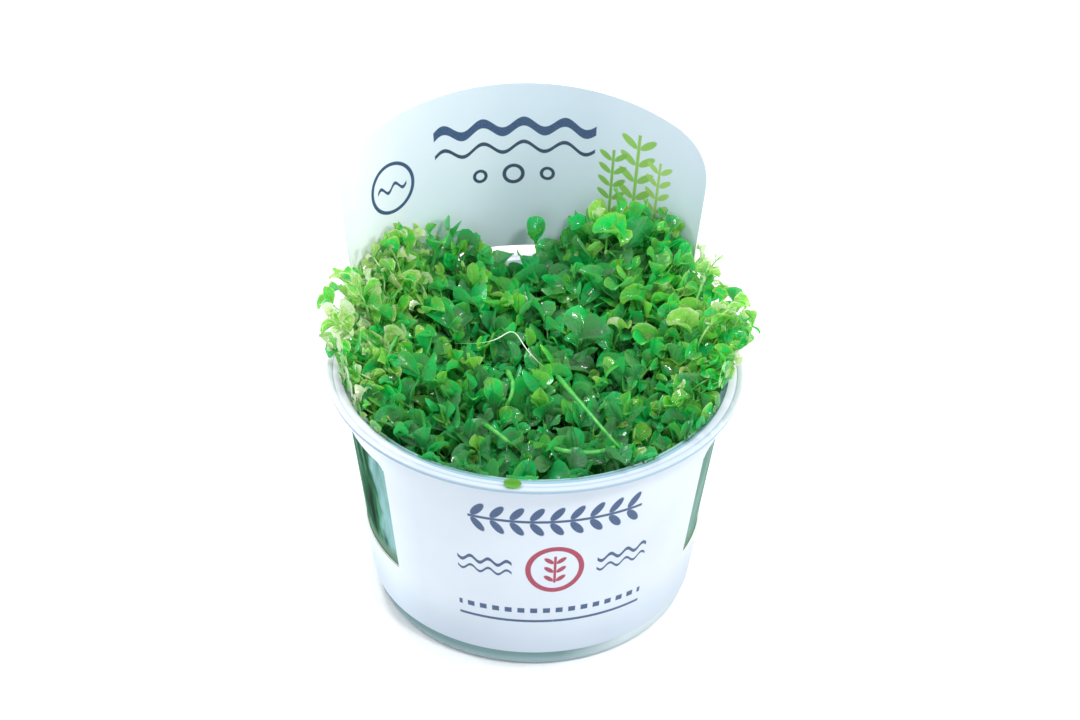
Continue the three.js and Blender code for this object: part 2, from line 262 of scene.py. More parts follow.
# Points on a quarter circle from one angle to another round a centre, for rounded corners.
def roundedCorner(centre, radius, start, end, steps=6):
    points = []
    for i in range(steps + 1):
        angle = math.radians(start + (end - start) * i / steps)
        points.append((centre[0] + radius * math.cos(angle), centre[1] + radius * math.sin(angle)))
    return points


# Shape that the pot and the sleeve share: the sleeve is a cone, and the pot fits inside it.
sleevePlan = {
    "radiusAtTop": 46.9,
    "taper": 0.1305,
    "bottom": 5.2,
    "top": 60,
    "thickness": 0.5,
    "turn": 7.5,
    "seamAngle": -50,
    "windowBottom": 20.1,
    "windowTop": 52.6,
    "windowEdges": (56.8, 112),
    "rightWindowStart": 53.8,
    "windowRounding": 3,
    "tabTop": 109.3,
    "tabHalfAngle": 60.4,
    "tabCornerAngle": 48.6,
    "tabArchDrop": 4.9,
    "tabCornerHeight": 16,
    "tabCornerPull": 3.2,
    "tabTopRows": 7,
    "slotTop": 65.8,
    "slotHalfAngle": 50.4,
    "legBulge": 4.2,
    "legAngles": (37.5, 45, 60.1, 75),
    "legHeights": (51, 59, 64, 71),
    "faceStep": 3,
}

potPlan = {
    "height": 62.6,
    "clearance": 0.15,
    "wall": 0.7,
    "floor": 1,
    "footRounding": 2.4,
    "flangeTop": 61.8,
    "mouthRadius": 46.6,
    "mouthRounding": 1.6,
    "ledgeRadius": 45.2,
    "ledgeDrop": 0.5,
    "flangeRadius": 50,
    "flangeThickness": 0.9,
    "lipWidth": 0.8,
    "lipBottom": 60.6,
    "grooveRadius": 48.4,
    "grooveWidth": 0.6,
    "grooveDepth": 0.22,
    "edgeRounding": 0.35,
    "shoulderRounding": 0.5,
    "lipInnerRounding": 0.3,
    "lipLowerRounding": 0.4,
    "mouthSlope": 1.4,
    "wallLevels": (12, 24, 36, 48),
    "segments": 160,
}


def sleeveRadius(z):
    return sleevePlan["radiusAtTop"] + sleevePlan["taper"] * (z - sleevePlan["top"])


def potOuterRadius(z):
    return sleeveRadius(z) - sleevePlan["thickness"] - potPlan["clearance"]


def potInnerRadius(z):
    return potOuterRadius(z) - potPlan["wall"]


# Tints of the plastic, with painted shade, reflection and light among them. Those of the film and
# the foot run up the pot, from 0 to 1, those of the streaks from their darkest to their palest, and
# those of the rim outwards from its ledge.
plasticPlan = {
    "flowSize": 9,
    "streakSize": 3.4,
    "streakStretch": (1, 1, 0.2),
    "filmStops": [
        (0.0, "#D8D8D8"), (0.06, "#F6F6F6"), (0.3, "#FFFFFF"), (0.84, "#FFFFFF"), (0.91, "#000000"),
    ],
    # Painted shade of the growth behind the wall, and a paler painted reflection towards the front.
    "shadedFilm": [(0.36, "#0C2A1C"), (0.46, "#1C5236"), (0.56, "#2E6C4A"), (0.68, "#5E9C80")],
    "reflectedFilm": [(0.36, "#4A7E74"), (0.48, "#74A49E"), (0.62, "#92BEBE")],
    "evenFilm": "#6E8C7E",
    # The foot: a painted highlight at its bottom edge, then painted shade up under the sleeve.
    "footStops": [
        (0.0, "#D5E2E8"), (0.02, "#AFC4CA"), (0.05, "#7D9A9A"), (0.09, "#6E8E8C"), (0.3, "#6E9078"),
        (0.38, "#6E9078"),
    ],
    # Painted light on the foot towards the right.
    "footLight": "#E6EEF2",
    "rimEdges": (45, 50),
    "rimStops": [
        (0.0, "#9CC0C6"), (0.2, "#86AAB4"), (0.36, "#8CB0C0"), (0.42, "#86A4B8"), (0.46, "#BCC8D6"),
    ],
    # Painted light at the rim's sides and towards its left.
    "rimSideLight": "#ECEEF6",
    # A painted shade line in the groove.
    "grooveShade": [(0.64, "#FFFFFF"), (0.68, "#DEE8F0"), (0.72, "#FFFFFF")],
    # Painted shadow under the lip, between the lip levels.
    "lipShadow": "#98B2C4",
    "milkStart": (46.1, 46.4),
    "lipLevels": (61.6, 61.4),
}


# The green film inside the wall: streaked and dark, painted shade of the growth behind the wall,
# with a paler teal towards the front that is a painted reflection, and even at the right. Over
# the foot it gives way to the foot's tint, with its painted highlight, shade and light.
def filmColour(tree, plan, place, flow, rise, rightward, facing):
    stretched = addNode(tree, "ShaderNodeVectorMath", (place, plan["streakStretch"]), operation="MULTIPLY")
    streaks = addNode(tree, "ShaderNodeTexNoise", (stretched, 1 / (plan["streakSize"] * mm), 4))
    # The dark streaks are painted shade, and the paler teal in thin is a painted reflection on the wall.
    shadedFilmTint = addNode(tree, "ShaderNodeValToRGB", {"Fac": streaks}, plan["shadedFilm"])
    thin = addNode(tree, "ShaderNodeValToRGB", {"Fac": streaks}, plan["reflectedFilm"])
    further = addNode(tree, "ShaderNodeMapRange", (rightward, 0, 0.5, 0, 0.4))
    reach = addNode(tree, "ShaderNodeMath", (facing, further), operation="ADD")
    uneven = addNode(tree, "ShaderNodeMath", (flow, 0.2, reach), operation="MULTIPLY_ADD")
    nearFront = addNode(tree, "ShaderNodeMapRange", (uneven, 0.5, 0.53))
    film = addNode(tree, "ShaderNodeMix", (nearFront, shadedFilmTint, thin), data_type="RGBA")
    evenShare = addNode(tree, "ShaderNodeMapRange", (rightward, 0, 0.5, 0, 0.72))
    frontward = addNode(tree, "ShaderNodeMapRange", (uneven, 0.5, 0.75))
    evenShare = addNode(tree, "ShaderNodeMath", (evenShare, frontward), operation="MULTIPLY")
    evenFilm = linearColour(plan["evenFilm"])
    film = addNode(tree, "ShaderNodeMix", (evenShare, film, evenFilm), data_type="RGBA")
    # The foot: a painted highlight at its bottom edge, painted shade under the sleeve, and painted light
    # towards the right.
    foot = addNode(tree, "ShaderNodeValToRGB", {"Fac": rise}, plan["footStops"])
    lighter = addNode(tree, "ShaderNodeMapRange", (rightward, 0.2, 0.6, 0, 0.8))
    ground = addNode(tree, "ShaderNodeMapRange", (rise, 0.15, 0.1))
    lighter = addNode(tree, "ShaderNodeMath", (lighter, ground), operation="MULTIPLY")
    footLight = linearColour(plan["footLight"])
    foot = addNode(tree, "ShaderNodeMix", (lighter, foot, footLight), data_type="RGBA")
    aboveFoot = addNode(tree, "ShaderNodeMapRange", (rise, 0.35, 0.4))
    return addNode(tree, "ShaderNodeMix", (aboveFoot, foot, film), data_type="RGBA")


# The rim from its ledge outwards: blue-grey, then pale. Painted light makes it whiter at the sides
# of the pot and towards its left, painted shade gives a faint line in the groove, and a painted
# shadow a darker line under the lip.
def rimColour(tree, plan, radius, height, rightward, facing, onRim):
    across = addNode(tree, "ShaderNodeMapRange", (radius, *(edge * mm for edge in plan["rimEdges"])))
    # Painted light: the rim is whiter at the sides of the pot and towards its left.
    aside = addNode(tree, "ShaderNodeMapRange", (facing, 0.9, 0.4, -0.04, 0.16))
    inward = addNode(tree, "ShaderNodeMath", (across, aside), operation="ADD")
    tint = addNode(tree, "ShaderNodeValToRGB", {"Fac": inward}, plan["rimStops"])
    paler = addNode(tree, "ShaderNodeMapRange", (inward, 0.42, 0.48))
    leftward = addNode(tree, "ShaderNodeMapRange", (rightward, 0.1, 0.5, 0.4, 0))
    whiter = addNode(tree, "ShaderNodeMath", (paler, leftward), operation="MAXIMUM")
    sideways = addNode(tree, "ShaderNodeMapRange", (facing, 0.8, 0.1, 0, 0.95))
    whiter = addNode(tree, "ShaderNodeMath", (whiter, sideways), operation="MULTIPLY")
    rimSideLight = linearColour(plan["rimSideLight"])
    tint = addNode(tree, "ShaderNodeMix", (whiter, tint, rimSideLight), data_type="RGBA")
    # Painted shade: a faint darker line in the groove.
    groove = addNode(tree, "ShaderNodeValToRGB", {"Fac": across}, plan["grooveShade"])
    tint = addNode(tree, "ShaderNodeMix", (1.0, tint, groove), data_type="RGBA", blend_type="MULTIPLY")
    # A painted shadow under the lip.
    lipShadowShare = addNode(tree, "ShaderNodeMapRange", (height, *(level * mm for level in plan["lipLevels"])))
    lipShadowShare = addNode(tree, "ShaderNodeMath", (lipShadowShare, onRim), operation="MULTIPLY")
    return addNode(tree, "ShaderNodeMix", (lipShadowShare, tint, linearColour(plan["lipShadow"])), data_type="RGBA")


# Injection-moulded clear polystyrene: glassy, milky in the thick flange with blue-grey edges,
# and with a green film inside the wall that runs down in streaks. The film, the foot and the rim
# carry painted shade, reflection and light.
def makeClearPlastic(plan):
    material, tree, place = newMaterial("mouldedClearPolystyrene")
    flow = addNode(tree, "ShaderNodeTexNoise", (place, 1 / (plan["flowSize"] * mm), 2))
    bump = addNode(tree, "ShaderNodeBump", {"Height": flow, "Strength": 0.25, "Distance": 0.3 * mm})
    haze = addNode(tree, "ShaderNodeMapRange", (flow, 0.3, 0.7, 0.03, 0.09))
    height = addNode(tree, "ShaderNodeSeparateXYZ", {"Vector": place}).outputs["Z"]
    rise = addNode(tree, "ShaderNodeMapRange", (height, 0, potPlan["height"] * mm))
    level = addNode(tree, "ShaderNodeVectorMath", (place, (1, 1, 0)), operation="MULTIPLY")
    radius = addNode(tree, "ShaderNodeVectorMath", (level,), operation="LENGTH")
    bearing = addNode(tree, "ShaderNodeVectorMath", (level,), operation="NORMALIZE")
    rightward = addNode(tree, "ShaderNodeSeparateXYZ", {"Vector": bearing}).outputs["X"]
    turn = math.radians(sleevePlan["turn"] - 90)
    front = (math.cos(turn), math.sin(turn), 0)
    facing = addNode(tree, "ShaderNodeVectorMath", (bearing, front), operation="DOT_PRODUCT")
    onRim = addNode(tree, "ShaderNodeMapRange", (radius, *(start * mm for start in plan["milkStart"])))
    filmShare = addNode(tree, "ShaderNodeValToRGB", {"Fac": rise}, plan["filmStops"])
    film = filmColour(tree, plan, place, flow, rise, rightward, facing)
    rim = rimColour(tree, plan, radius, height, rightward, facing, onRim)
    tint = addNode(tree, "ShaderNodeMix", (filmShare, rim, film), data_type="RGBA")
    ledge = addNode(tree, "ShaderNodeMapRange", (rise, 0.86, 0.92, 0, 0.9))
    milk = addNode(tree, "ShaderNodeMath", (onRim, ledge), operation="MAXIMUM")
    milk = addNode(tree, "ShaderNodeMath", (filmShare, milk), operation="ADD")
    values = {
        "Base Color": tint,
        "Roughness": haze,
        "IOR": 1.49,
        "Specular IOR Level": addNode(tree, "ShaderNodeMapRange", (filmShare, 0, 0.5, 0.25, 0)),
        "Transmission Weight": addNode(tree, "ShaderNodeMapRange", (milk, 0, 1, 1, 0.07)),
        "Normal": bump,
    }
    surface = addNode(tree, "ShaderNodeBsdfPrincipled", values)
    addNode(tree, "ShaderNodeOutputMaterial", {"Surface": surface})
    return material


def makePot(plan):
    height, rounding = plan["flangeTop"], plan["edgeRounding"]
    foot = plan["footRounding"]
    footCentre = potOuterRadius(foot) - foot
    innerFoot = foot + plan["floor"]
    innerFootRadius = potInnerRadius(innerFoot) - foot
    underside = height - plan["flangeThickness"]
    shoulder = plan["shoulderRounding"]
    lipCorner, lipRound = plan["lipInnerRounding"], plan["lipLowerRounding"]
    lipInner = plan["flangeRadius"] - plan["lipWidth"]
    lipMiddle = plan["flangeRadius"] - plan["lipWidth"] / 2
    mouthLow = height - plan["mouthRounding"] - plan["mouthSlope"]
    ledgeHeight = height - plan["ledgeDrop"] - rounding
    groove, half = plan["grooveRadius"], plan["grooveWidth"] / 2
    profile = [(0, 0), (footCentre * 0.5, 0)]
    profile += roundedCorner((footCentre, foot), foot, -90, 0)
    profile += [(potOuterRadius(z), z) for z in (*plan["wallLevels"], underside - shoulder)]
    shoulderCentre = (potOuterRadius(underside) + shoulder, underside - shoulder)
    profile += roundedCorner(shoulderCentre, shoulder, 180, 90, 3)
    profile += roundedCorner((lipInner - lipCorner, underside - lipCorner), lipCorner, 90, 0, 3)
    profile += roundedCorner((lipMiddle, plan["lipBottom"] + lipRound), lipRound, 180, 360, 6)
    profile += roundedCorner((plan["flangeRadius"] - rounding, height - rounding), rounding, 0, 90, 4)
    profile += [(groove + half, height), (groove, height - plan["grooveDepth"]), (groove - half, height)]
    profile += roundedCorner((plan["mouthRadius"], height - rounding), rounding, 90, 150, 4)
    profile += roundedCorner((plan["ledgeRadius"], ledgeHeight), rounding, 80, 180, 4)
    profile += [(potInnerRadius(z), z) for z in (mouthLow, *reversed(plan["wallLevels"]))]
    profile += roundedCorner((innerFootRadius, innerFoot), foot, 0, -90)
    profile += [(innerFootRadius * 0.5, plan["floor"]), (0, plan["floor"])]
    mesh = turnedMesh("clearPot", profile, plan["segments"])
    addPiece("clearPot", mesh, [makeClearPlastic(plasticPlan)], ["pot"], sharpAngle=40)


makePot(potPlan)
print("pot made")


jellyPlan = {
    "gap": 0.35,
    "top": 21,
    "wallLevels": (9, 14, 18),
    "meniscus": [(0, 0), (0.7, 0.5), (2, 1.1)],
    "surfaceRings": (0.8, 0.55, 0.3, 0),
    "segments": 96,
    "cloudSize": 5,
    "cloudStops": [(0.3, "#C9D6C6"), (0.7, "#DDE6DC")],
    "depthTint": "#8FB39A",
    "absorption": 5,
}


# Set agar gel: colourless to straw, softly cloudy, glossy on top.
def makeJellyMaterial(plan):
    material, tree, place = newMaterial("setAgarGel")
    cloud = addNode(tree, "ShaderNodeTexNoise", (place, 1 / (plan["cloudSize"] * mm), 3))
    colour = addNode(tree, "ShaderNodeValToRGB", {"Fac": cloud}, plan["cloudStops"])
    values = {"Base Color": colour, "Roughness": 0.22, "IOR": 1.34, "Transmission Weight": 0.45}
    surface = addNode(tree, "ShaderNodeBsdfPrincipled", values)
    values = {"Color": linearColour(plan["depthTint"]), "Density": plan["absorption"]}
    volume = addNode(tree, "ShaderNodeVolumeAbsorption", values)
    addNode(tree, "ShaderNodeOutputMaterial", {"Surface": surface, "Volume": volume})
    return material


def makeJelly(plan):
    gap, top = plan["gap"], plan["top"]
    bottom = potPlan["floor"] + gap
    foot = potPlan["footRounding"]
    innerRadius = potInnerRadius(foot + bottom) - gap - foot
    edge = potInnerRadius(top) - gap
    surface = top - plan["meniscus"][-1][1]
    profile = [(0, bottom), (innerRadius * 0.6, bottom)]
    profile += roundedCorner((innerRadius, bottom + foot), foot, -90, 0)
    profile += [(potInnerRadius(z) - gap, z) for z in plan["wallLevels"]]
    profile += [(edge - inward, top - drop) for inward, drop in plan["meniscus"]]
    profile += [(edge * share, surface) for share in plan["surfaceRings"]]
    mesh = turnedMesh("agarJelly", profile, plan["segments"])
    addPiece("agarJelly", mesh, [makeJellyMaterial(plan)], ["jelly"], sharpAngle=50)


makeJelly(jellyPlan)
print("jelly made")


# Plain motifs printed on the card: places and sizes in millimetres on the flat sheet.
navy, ink, crimson, leafInk = "#28466E", "#1E3652", "#982846", "#8ABB55"
frontPrint = [
    {
        "shape": "sprig", "at": (0, 49.3), "turned": True, "pairs": 9, "step": 4.8, "line": 0.8,
        "leaf": (2.5, 1.05), "ink": navy,
    },
    {"shape": "ring", "at": (0, 33.6), "radius": 6.8, "line": 1.4, "ink": crimson},
    {
        "shape": "sprig", "at": (0, 33.6), "pairs": 3, "step": 2.9, "line": 0.7,
        "leaf": (1.5, 0.65), "ink": crimson,
    },
    {"shape": "dashes", "at": (0, 19.8), "half": 25.5, "period": 3.4, "gap": 1.5, "line": 1.6, "ink": navy},
    {"shape": "dashes", "at": (0, 16.2), "half": 25.5, "period": 200, "gap": 0, "line": 0.8, "ink": navy},
]
for x, y, line in [(-18, 35.2, 1.1), (-18, 32.2, 0.8), (18, 35.2, 1.1), (18, 32.2, 0.8)]:
    size = {"half": 7.1, "rise": 0.8, "length": 4.7, "line": line}
    frontPrint.append({"shape": "wave", "at": (x, y), **size, "ink": navy})
tabPrint = [
    {"shape": "wave", "at": (0, 98), "half": 19, "rise": 1.3, "length": 9.5, "line": 2.4, "ink": navy},
    {"shape": "wave", "at": (0, 92.6), "half": 19, "rise": 1.3, "length": 9.5, "line": 1.0, "ink": ink},
    {"shape": "ring", "at": (-31.5, 89), "radius": 6.2, "line": 0.9, "ink": navy},
    {"shape": "wave", "at": (-31.5, 89), "half": 4.4, "rise": 0.9, "length": 4.4, "line": 0.9, "ink": navy},
    {
        "shape": "sprig", "at": (29.5, 88.4), "pairs": 5, "step": 4.4, "line": 0.8,
        "leaf": (2.5, 0.9), "ink": leafInk,
    },
]
for x, radius, line in [(0, 2.2, 0.9), (-8, 1.4, 0.8), (8, 1.4, 0.8)]:
    tabPrint.append({"shape": "ring", "at": (x, 85.4), "radius": radius, "line": line, "ink": ink})
for x, paleInk in [(35.5, "#A0C868"), (23.5, "#7AB048")]:
    size = {"pairs": 5, "step": 3.4, "line": 0.7, "leaf": (1.9, 0.7)}
    tabPrint.append({"shape": "sprig", "at": (x, 85.4), **size, "ink": paleInk})

# The sums that draw each motif. A row is a name, an operation and its terms, where a word stands
# for an earlier row or for one of the motif's values. The last row is how far a point lies
# outside the motif, in millimetres.
motifSums = {
    "ring": [
        ("square", "MULTIPLY", "x", "x"),
        ("square", "MULTIPLY_ADD", "y", "y", "square"),
        ("away", "SQRT", "square"),
        ("away", "SUBTRACT", "away", "radius"),
        ("away", "ABSOLUTE", "away"),
        ("outside", "SUBTRACT", "away", "halfLine"),
    ],
    "wave": [
        ("swing", "MULTIPLY", "x", "waves"),
        ("swing", "SINE", "swing"),
        ("level", "MULTIPLY", "swing", "rise"),
        ("level", "SUBTRACT", "y", "level"),
        ("level", "ABSOLUTE", "level"),
        ("level", "SUBTRACT", "level", "halfLine"),
        ("end", "ABSOLUTE", "x"),
        ("end", "SUBTRACT", "end", "half"),
        ("outside", "MAXIMUM", "level", "end"),
    ],
    "dashes": [
        ("space", "PINGPONG", "x", "halfPeriod"),
        ("space", "SUBTRACT", "halfGap", "space"),
        ("level", "ABSOLUTE", "y"),
        ("level", "SUBTRACT", "level", "halfLine"),
        ("end", "ABSOLUTE", "x"),
        ("end", "SUBTRACT", "end", "half"),
        ("bar", "MAXIMUM", "level", "end"),
        ("outside", "MAXIMUM", "space", "bar"),
    ],
    "sprig": [
        ("aside", "ABSOLUTE", "x"),
        ("climb", "WRAP", "y", "halfStep", "stepBelow"),
        ("reach", "SUBTRACT", "aside", "leafMiddle"),
        ("along", "MULTIPLY", "climb", "slant"),
        ("along", "MULTIPLY_ADD", "reach", "level", "along"),
        ("along", "DIVIDE", "along", "long"),
        ("along", "POWER", "along", 2),
        ("across", "MULTIPLY", "reach", "slant"),
        ("climb", "MULTIPLY", "climb", "level"),
        ("across", "SUBTRACT", "climb", "across"),
        ("across", "DIVIDE", "across", "wide"),
        ("across", "POWER", "across", 2),
        ("leaves", "ADD", "along", "across"),
        ("leaves", "SQRT", "leaves"),
        ("leaves", "SUBTRACT", "leaves", 1),
        ("leaves", "MULTIPLY", "leaves", "wide"),
        ("stem", "SUBTRACT", "aside", "halfLine"),
        ("shape", "MINIMUM", "leaves", "stem"),
        ("end", "ABSOLUTE", "y"),
        ("end", "SUBTRACT", "end", "halfHeight"),
        ("outside", "MAXIMUM", "shape", "end"),
    ],
}
leafSlant = math.radians(38)


def motifValues(motif, x, y):
    values = dict(motif, x=x, y=y, halfLine=motif["line"] / 2)
    if motif["shape"] == "wave":
        values["waves"] = 2 * math.pi / motif["length"]
    if motif["shape"] == "dashes":
        values.update(halfGap=motif["gap"] / 2, halfPeriod=motif["period"] / 2)
    if motif["shape"] == "sprig":
        values["long"], values["wide"] = motif["leaf"]
        values["slant"], values["level"] = math.sin(leafSlant), math.cos(leafSlant)
        values["leafMiddle"] = values["long"] * values["level"] + values["halfLine"]
        values["halfStep"], values["stepBelow"] = motif["step"] / 2, -motif["step"] / 2
        values["halfHeight"] = motif["pairs"] * motif["step"] / 2
    return values


# Prints a motif over the card's colour. Its edge is 0.16 mm soft, and the ink is a little uneven.
def printMotif(tree, motif, colour, across, up, density):
    x = addNode(tree, "ShaderNodeMath", (across, motif["at"][0]), operation="SUBTRACT")
    y = addNode(tree, "ShaderNodeMath", (up, motif["at"][1]), operation="SUBTRACT")
    values = motifValues(motif, y, x) if motif.get("turned") else motifValues(motif, x, y)
    for name, operation, *terms in motifSums[motif["shape"]]:
        terms = [values.get(term, term) for term in terms]
        values[name] = addNode(tree, "ShaderNodeMath", terms, operation=operation)
    cover = addNode(tree, "ShaderNodeMapRange", (values["outside"], 0.08, -0.08, 0, density))
    return addNode(tree, "ShaderNodeMix", (cover, colour, linearColour(motif["ink"])), data_type="RGBA")


# Satin coated card: blue-white, with a fine fibre grain under the coating. The print is matt.
def makeCoatedCard(name, look, motifs=(), middle=0, towards=1):
    material, tree, place = newMaterial(name)
    mottle = addNode(tree, "ShaderNodeTexNoise", (place, 1 / (22 * mm), 2))
    fibre = addNode(tree, "ShaderNodeTexNoise", (place, 1 / (0.35 * mm), 3))
    colour = addNode(tree, "ShaderNodeValToRGB", {"Fac": mottle}, look["paperAndPaintedShade"])
    if motifs:
        sheet = addNode(tree, "ShaderNodeUVMap", uv_map="sheet")
        flat = addNode(tree, "ShaderNodeSeparateXYZ", {"Vector": sheet}).outputs
        half = math.pi * sleevePlan["radiusAtTop"]
        across = addNode(tree, "ShaderNodeMath", (flat["X"], middle), operation="SUBTRACT")
        across = addNode(tree, "ShaderNodeMath", (across, towards), operation="MULTIPLY")
        across = addNode(tree, "ShaderNodeMath", (across, half, -half), operation="WRAP")
        # Painted light and shade, multiplied over the paper's colour.
        for shade in look["shading"]:
            value = flat["Y"] if shade["upwards"] else across
            share = addNode(tree, "ShaderNodeMapRange", (value, shade["start"], shade["end"]))
            paperAndPaintedShade = addNode(tree, "ShaderNodeValToRGB", {"Fac": share}, shade["stops"])
            values = (1.0, colour, paperAndPaintedShade)
            colour = addNode(tree, "ShaderNodeMix", values, data_type="RGBA", blend_type="MULTIPLY")
        density = addNode(tree, "ShaderNodeMath", (fibre, 0.16, 0.9), operation="MULTIPLY_ADD")
        for motif in motifs:
            colour = printMotif(tree, motif, colour, across, flat["Y"], density)
    bump = addNode(tree, "ShaderNodeBump", {"Height": fibre, "Strength": 0.15, "Distance": 0.03 * mm})
    values = {"Base Color": colour, "Roughness": look["roughness"], "IOR": 1.5, "Normal": bump}
    surface = addNode(tree, "ShaderNodeBsdfPrincipled", values)
    addNode(tree, "ShaderNodeOutputMaterial", {"Surface": surface})
    return material


def tabTopHeight(fromBack, plan):
    side = abs(fromBack)
    if side <= plan["tabCornerAngle"]:
        return plan["tabTop"] - plan["tabArchDrop"] * (side / plan["tabCornerAngle"]) ** 2
    best = min(tabCornerPoints(plan), key=lambda point: abs(point[0] - side))
    return best[1]


# The tab's rounded corner as (degrees from the back, height) points, from its side to its arch.
def tabCornerPoints(plan, steps=10):
    cornerTop = plan["tabTop"] - plan["tabArchDrop"]
    start = Vector((plan["tabHalfAngle"], plan["tabTop"] - plan["tabCornerHeight"]))
    pull = Vector((plan["tabHalfAngle"], cornerTop - plan["tabCornerPull"]))
    end = Vector((plan["tabCornerAngle"], cornerTop))
    points = []
    for i in range(steps + 1):
        t = i / steps
        points.append(tuple(start * (1 - t) ** 2 + pull * 2 * t * (1 - t) + end * t * t))
    return points


# Columns and rows at even steps between fixed marks, so that each edge of the sheet is on one.
def stepsBetween(marks, step):
    marks = sorted(set(round(mark, 5) for mark in marks))
    places = []
    for low, high in zip(marks, marks[1:]):
        count = max(1, round((high - low) / step))
        places += [low + (high - low) * i / count for i in range(count)]
    return places + [marks[-1]]


def legShare(fromBack, z, plan):
    start, full, ebb, end = plan["legAngles"]
    side = smoothStep(abs(fromBack), start, full) * (1 - smoothStep(abs(fromBack), ebb, end))
    start, full, ebb, end = plan["legHeights"]
    return side * smoothStep(z, start, full) * (1 - smoothStep(z, ebb, end))


# Looks of the card. Its shading is painted light and shade that runs round it or up it, in
# millimetres on the sheet: painted shade low on the front and painted light round its left side,
# and on the tab painted light at its sides, most at the left, and painted shade in its middle.
cardPlan = {
    "front": {
        "paperAndPaintedShade": [(0.3, "#E1EBF6"), (0.7, "#E9F3FD")],
        "roughness": 0.4,
        "shading": [
            {
                "upwards": True, "start": 5, "end": 20,
                "stops": [(0.0, "#E6EAEE"), (0.35, "#ECF0F4"), (1.0, "#FFFFFF")],
            },
            {
                "upwards": False, "start": -147, "end": -30,
                "stops": [
                    (0.12, "#DEDEDE"), (0.38, "#FFFFFF"), (0.573, "#FFFFFF"), (0.829, "#F6F6F6"),
                    (0.94, "#E0E0E0"), (1.0, "#DEDEDE"),
                ],
            },
        ],
    },
    "tab": {
        "paperAndPaintedShade": [(0.3, "#F2F6F9"), (0.7, "#F8FAFC")],
        "roughness": 0.42,
        "shading": [
            {
                "upwards": False, "start": -44, "end": 44,
                "stops": [
                    (0.0, "#FAFAFE"), (0.2, "#DEE6EE"), (0.5, "#CFDBE5"), (0.7, "#CEDAE5"),
                    (1.0, "#DEE6F2"),
                ],
            },
        ],
    },
    "edge": {"paperAndPaintedShade": [(0.3, "#E6EAED"), (0.7, "#F2F4F5")], "roughness": 0.7},
}
near = 0.001  # Marks closer than this, in degrees or millimetres, are one.


# The rounded upper corner of a window as (degrees from its side, millimetres below its top).
def windowCorner(plan):
    rounding = math.degrees(plan["windowRounding"] / sleeveRadius(plan["windowTop"]))
    points = []
    for degrees in (0, 15, 30, 45, 60, 75, 90):
        turn = math.radians(degrees)
        points.append((rounding * (1 - math.cos(turn)), plan["windowRounding"] * (1 - math.sin(turn))))
    return points


# How the windows cut a cell of the sheet: its kept corners, or none.
def keptCorners(plan, windows, arcs, low, high, bottom, top):
    whole = [0, 1, 2, 3]
    if bottom < plan["windowBottom"] - near or top > plan["windowTop"] + near:
        return whole
    for start, end in windows:
        if low < start - near or high > end + near:
            continue
        nearStart = low - start < end - high
        aside = low - start if nearStart else end - high
        drop = plan["windowTop"] - top
        index = next((i for i, (a, _) in enumerate(arcs[:-1]) if abs(a - aside) < near), None)
        level = next((i for i, (_, d) in enumerate(arcs[1:]) if abs(d - drop) < near), None)
        if index is None or level is None or index > level:
            return []
        if index == level:
            return [0, 2, 3] if nearStart else [1, 2, 3]
        return whole
    return whole


# One thin sheet, cut out as it is built. Angles run from the middle of the front panel, and the
# tab's middle is at 180. Its UV map holds millimetres along the sheet and up from the pot's base.
def makeSleeveSheet(plan):
    arcs = windowCorner(plan)
    front, back = plan["windowEdges"]
    windows = [(plan["rightWindowStart"], back), (360 - back, 360 - front)]
    marks = [plan["seamAngle"], plan["seamAngle"] + 360, 0, 180]
    for low, high in windows:
        marks += [low + a for a, _ in arcs] + [high - a for a, _ in arcs]
    for sign in (-1, 1):
        marks += [180 + sign * plan["slotHalfAngle"]]
        marks += [180 + sign * a for a, _ in tabCornerPoints(plan)]
    columns = stepsBetween(marks, plan["faceStep"])
    sideTop = plan["tabTop"] - plan["tabCornerHeight"]
    levels = [plan["bottom"], plan["windowBottom"], plan["top"], plan["slotTop"], sideTop]
    levels += [*plan["legHeights"], *(plan["windowTop"] - drop for _, drop in arcs)]
    rows = stepsBetween(levels, plan["faceStep"])
    sheet = bmesh.new()
    uvLayer = sheet.loops.layers.uv.new("sheet")
    made = {}

    def heightAt(column, row):
        if row < len(rows):
            return rows[row]
        share = (row - len(rows) + 1) / plan["tabTopRows"]
        return sideTop + share * (tabTopHeight(columns[column] - 180, plan) - sideTop)

    def vertexAt(column, row):
        z = heightAt(column, row)
        degrees = columns[column]
        key = (round(degrees % 360, 4), round(z, 4))
        if key not in made:
            radius = sleeveRadius(z) + plan["legBulge"] * legShare(abs(degrees - 180), z, plan)
            turn = math.radians(degrees - 90 + plan["turn"])
            made[key] = sheet.verts.new((radius * math.cos(turn), radius * math.sin(turn), z))
        return made[key]

    def inTab(low, high, limit):
        return low >= 180 - limit - near and high <= 180 + limit + near

    for column in range(len(columns) - 1):
        low, high = columns[column], columns[column + 1]
        for row in range(len(rows) - 1 + plan["tabTopRows"]):
            bottom, top = heightAt(column, row), heightAt(column, row + 1)
            if bottom > plan["top"] - near:
                if not inTab(low, high, plan["tabHalfAngle"]):
                    continue
                if bottom < plan["slotTop"] - near and inTab(low, high, plan["slotHalfAngle"]):
                    continue
            kept = keptCorners(plan, windows, arcs, low, high, bottom, top)
            places = [(column, row), (column + 1, row), (column + 1, row + 1), (column, row + 1)]
            corners = {vertexAt(*places[i]): places[i] for i in kept}
            if len(corners) < 3:
                continue
            face = sheet.faces.new(corners)
            face.smooth = True
            for loop, (c, r) in zip(face.loops, corners.values()):
                loop[uvLayer].uv = (math.radians(columns[c]) * plan["radiusAtTop"], heightAt(c, r))
    mesh = bpy.data.meshes.new("cardSleeve")
    sheet.to_mesh(mesh)
    sheet.free()
    return mesh


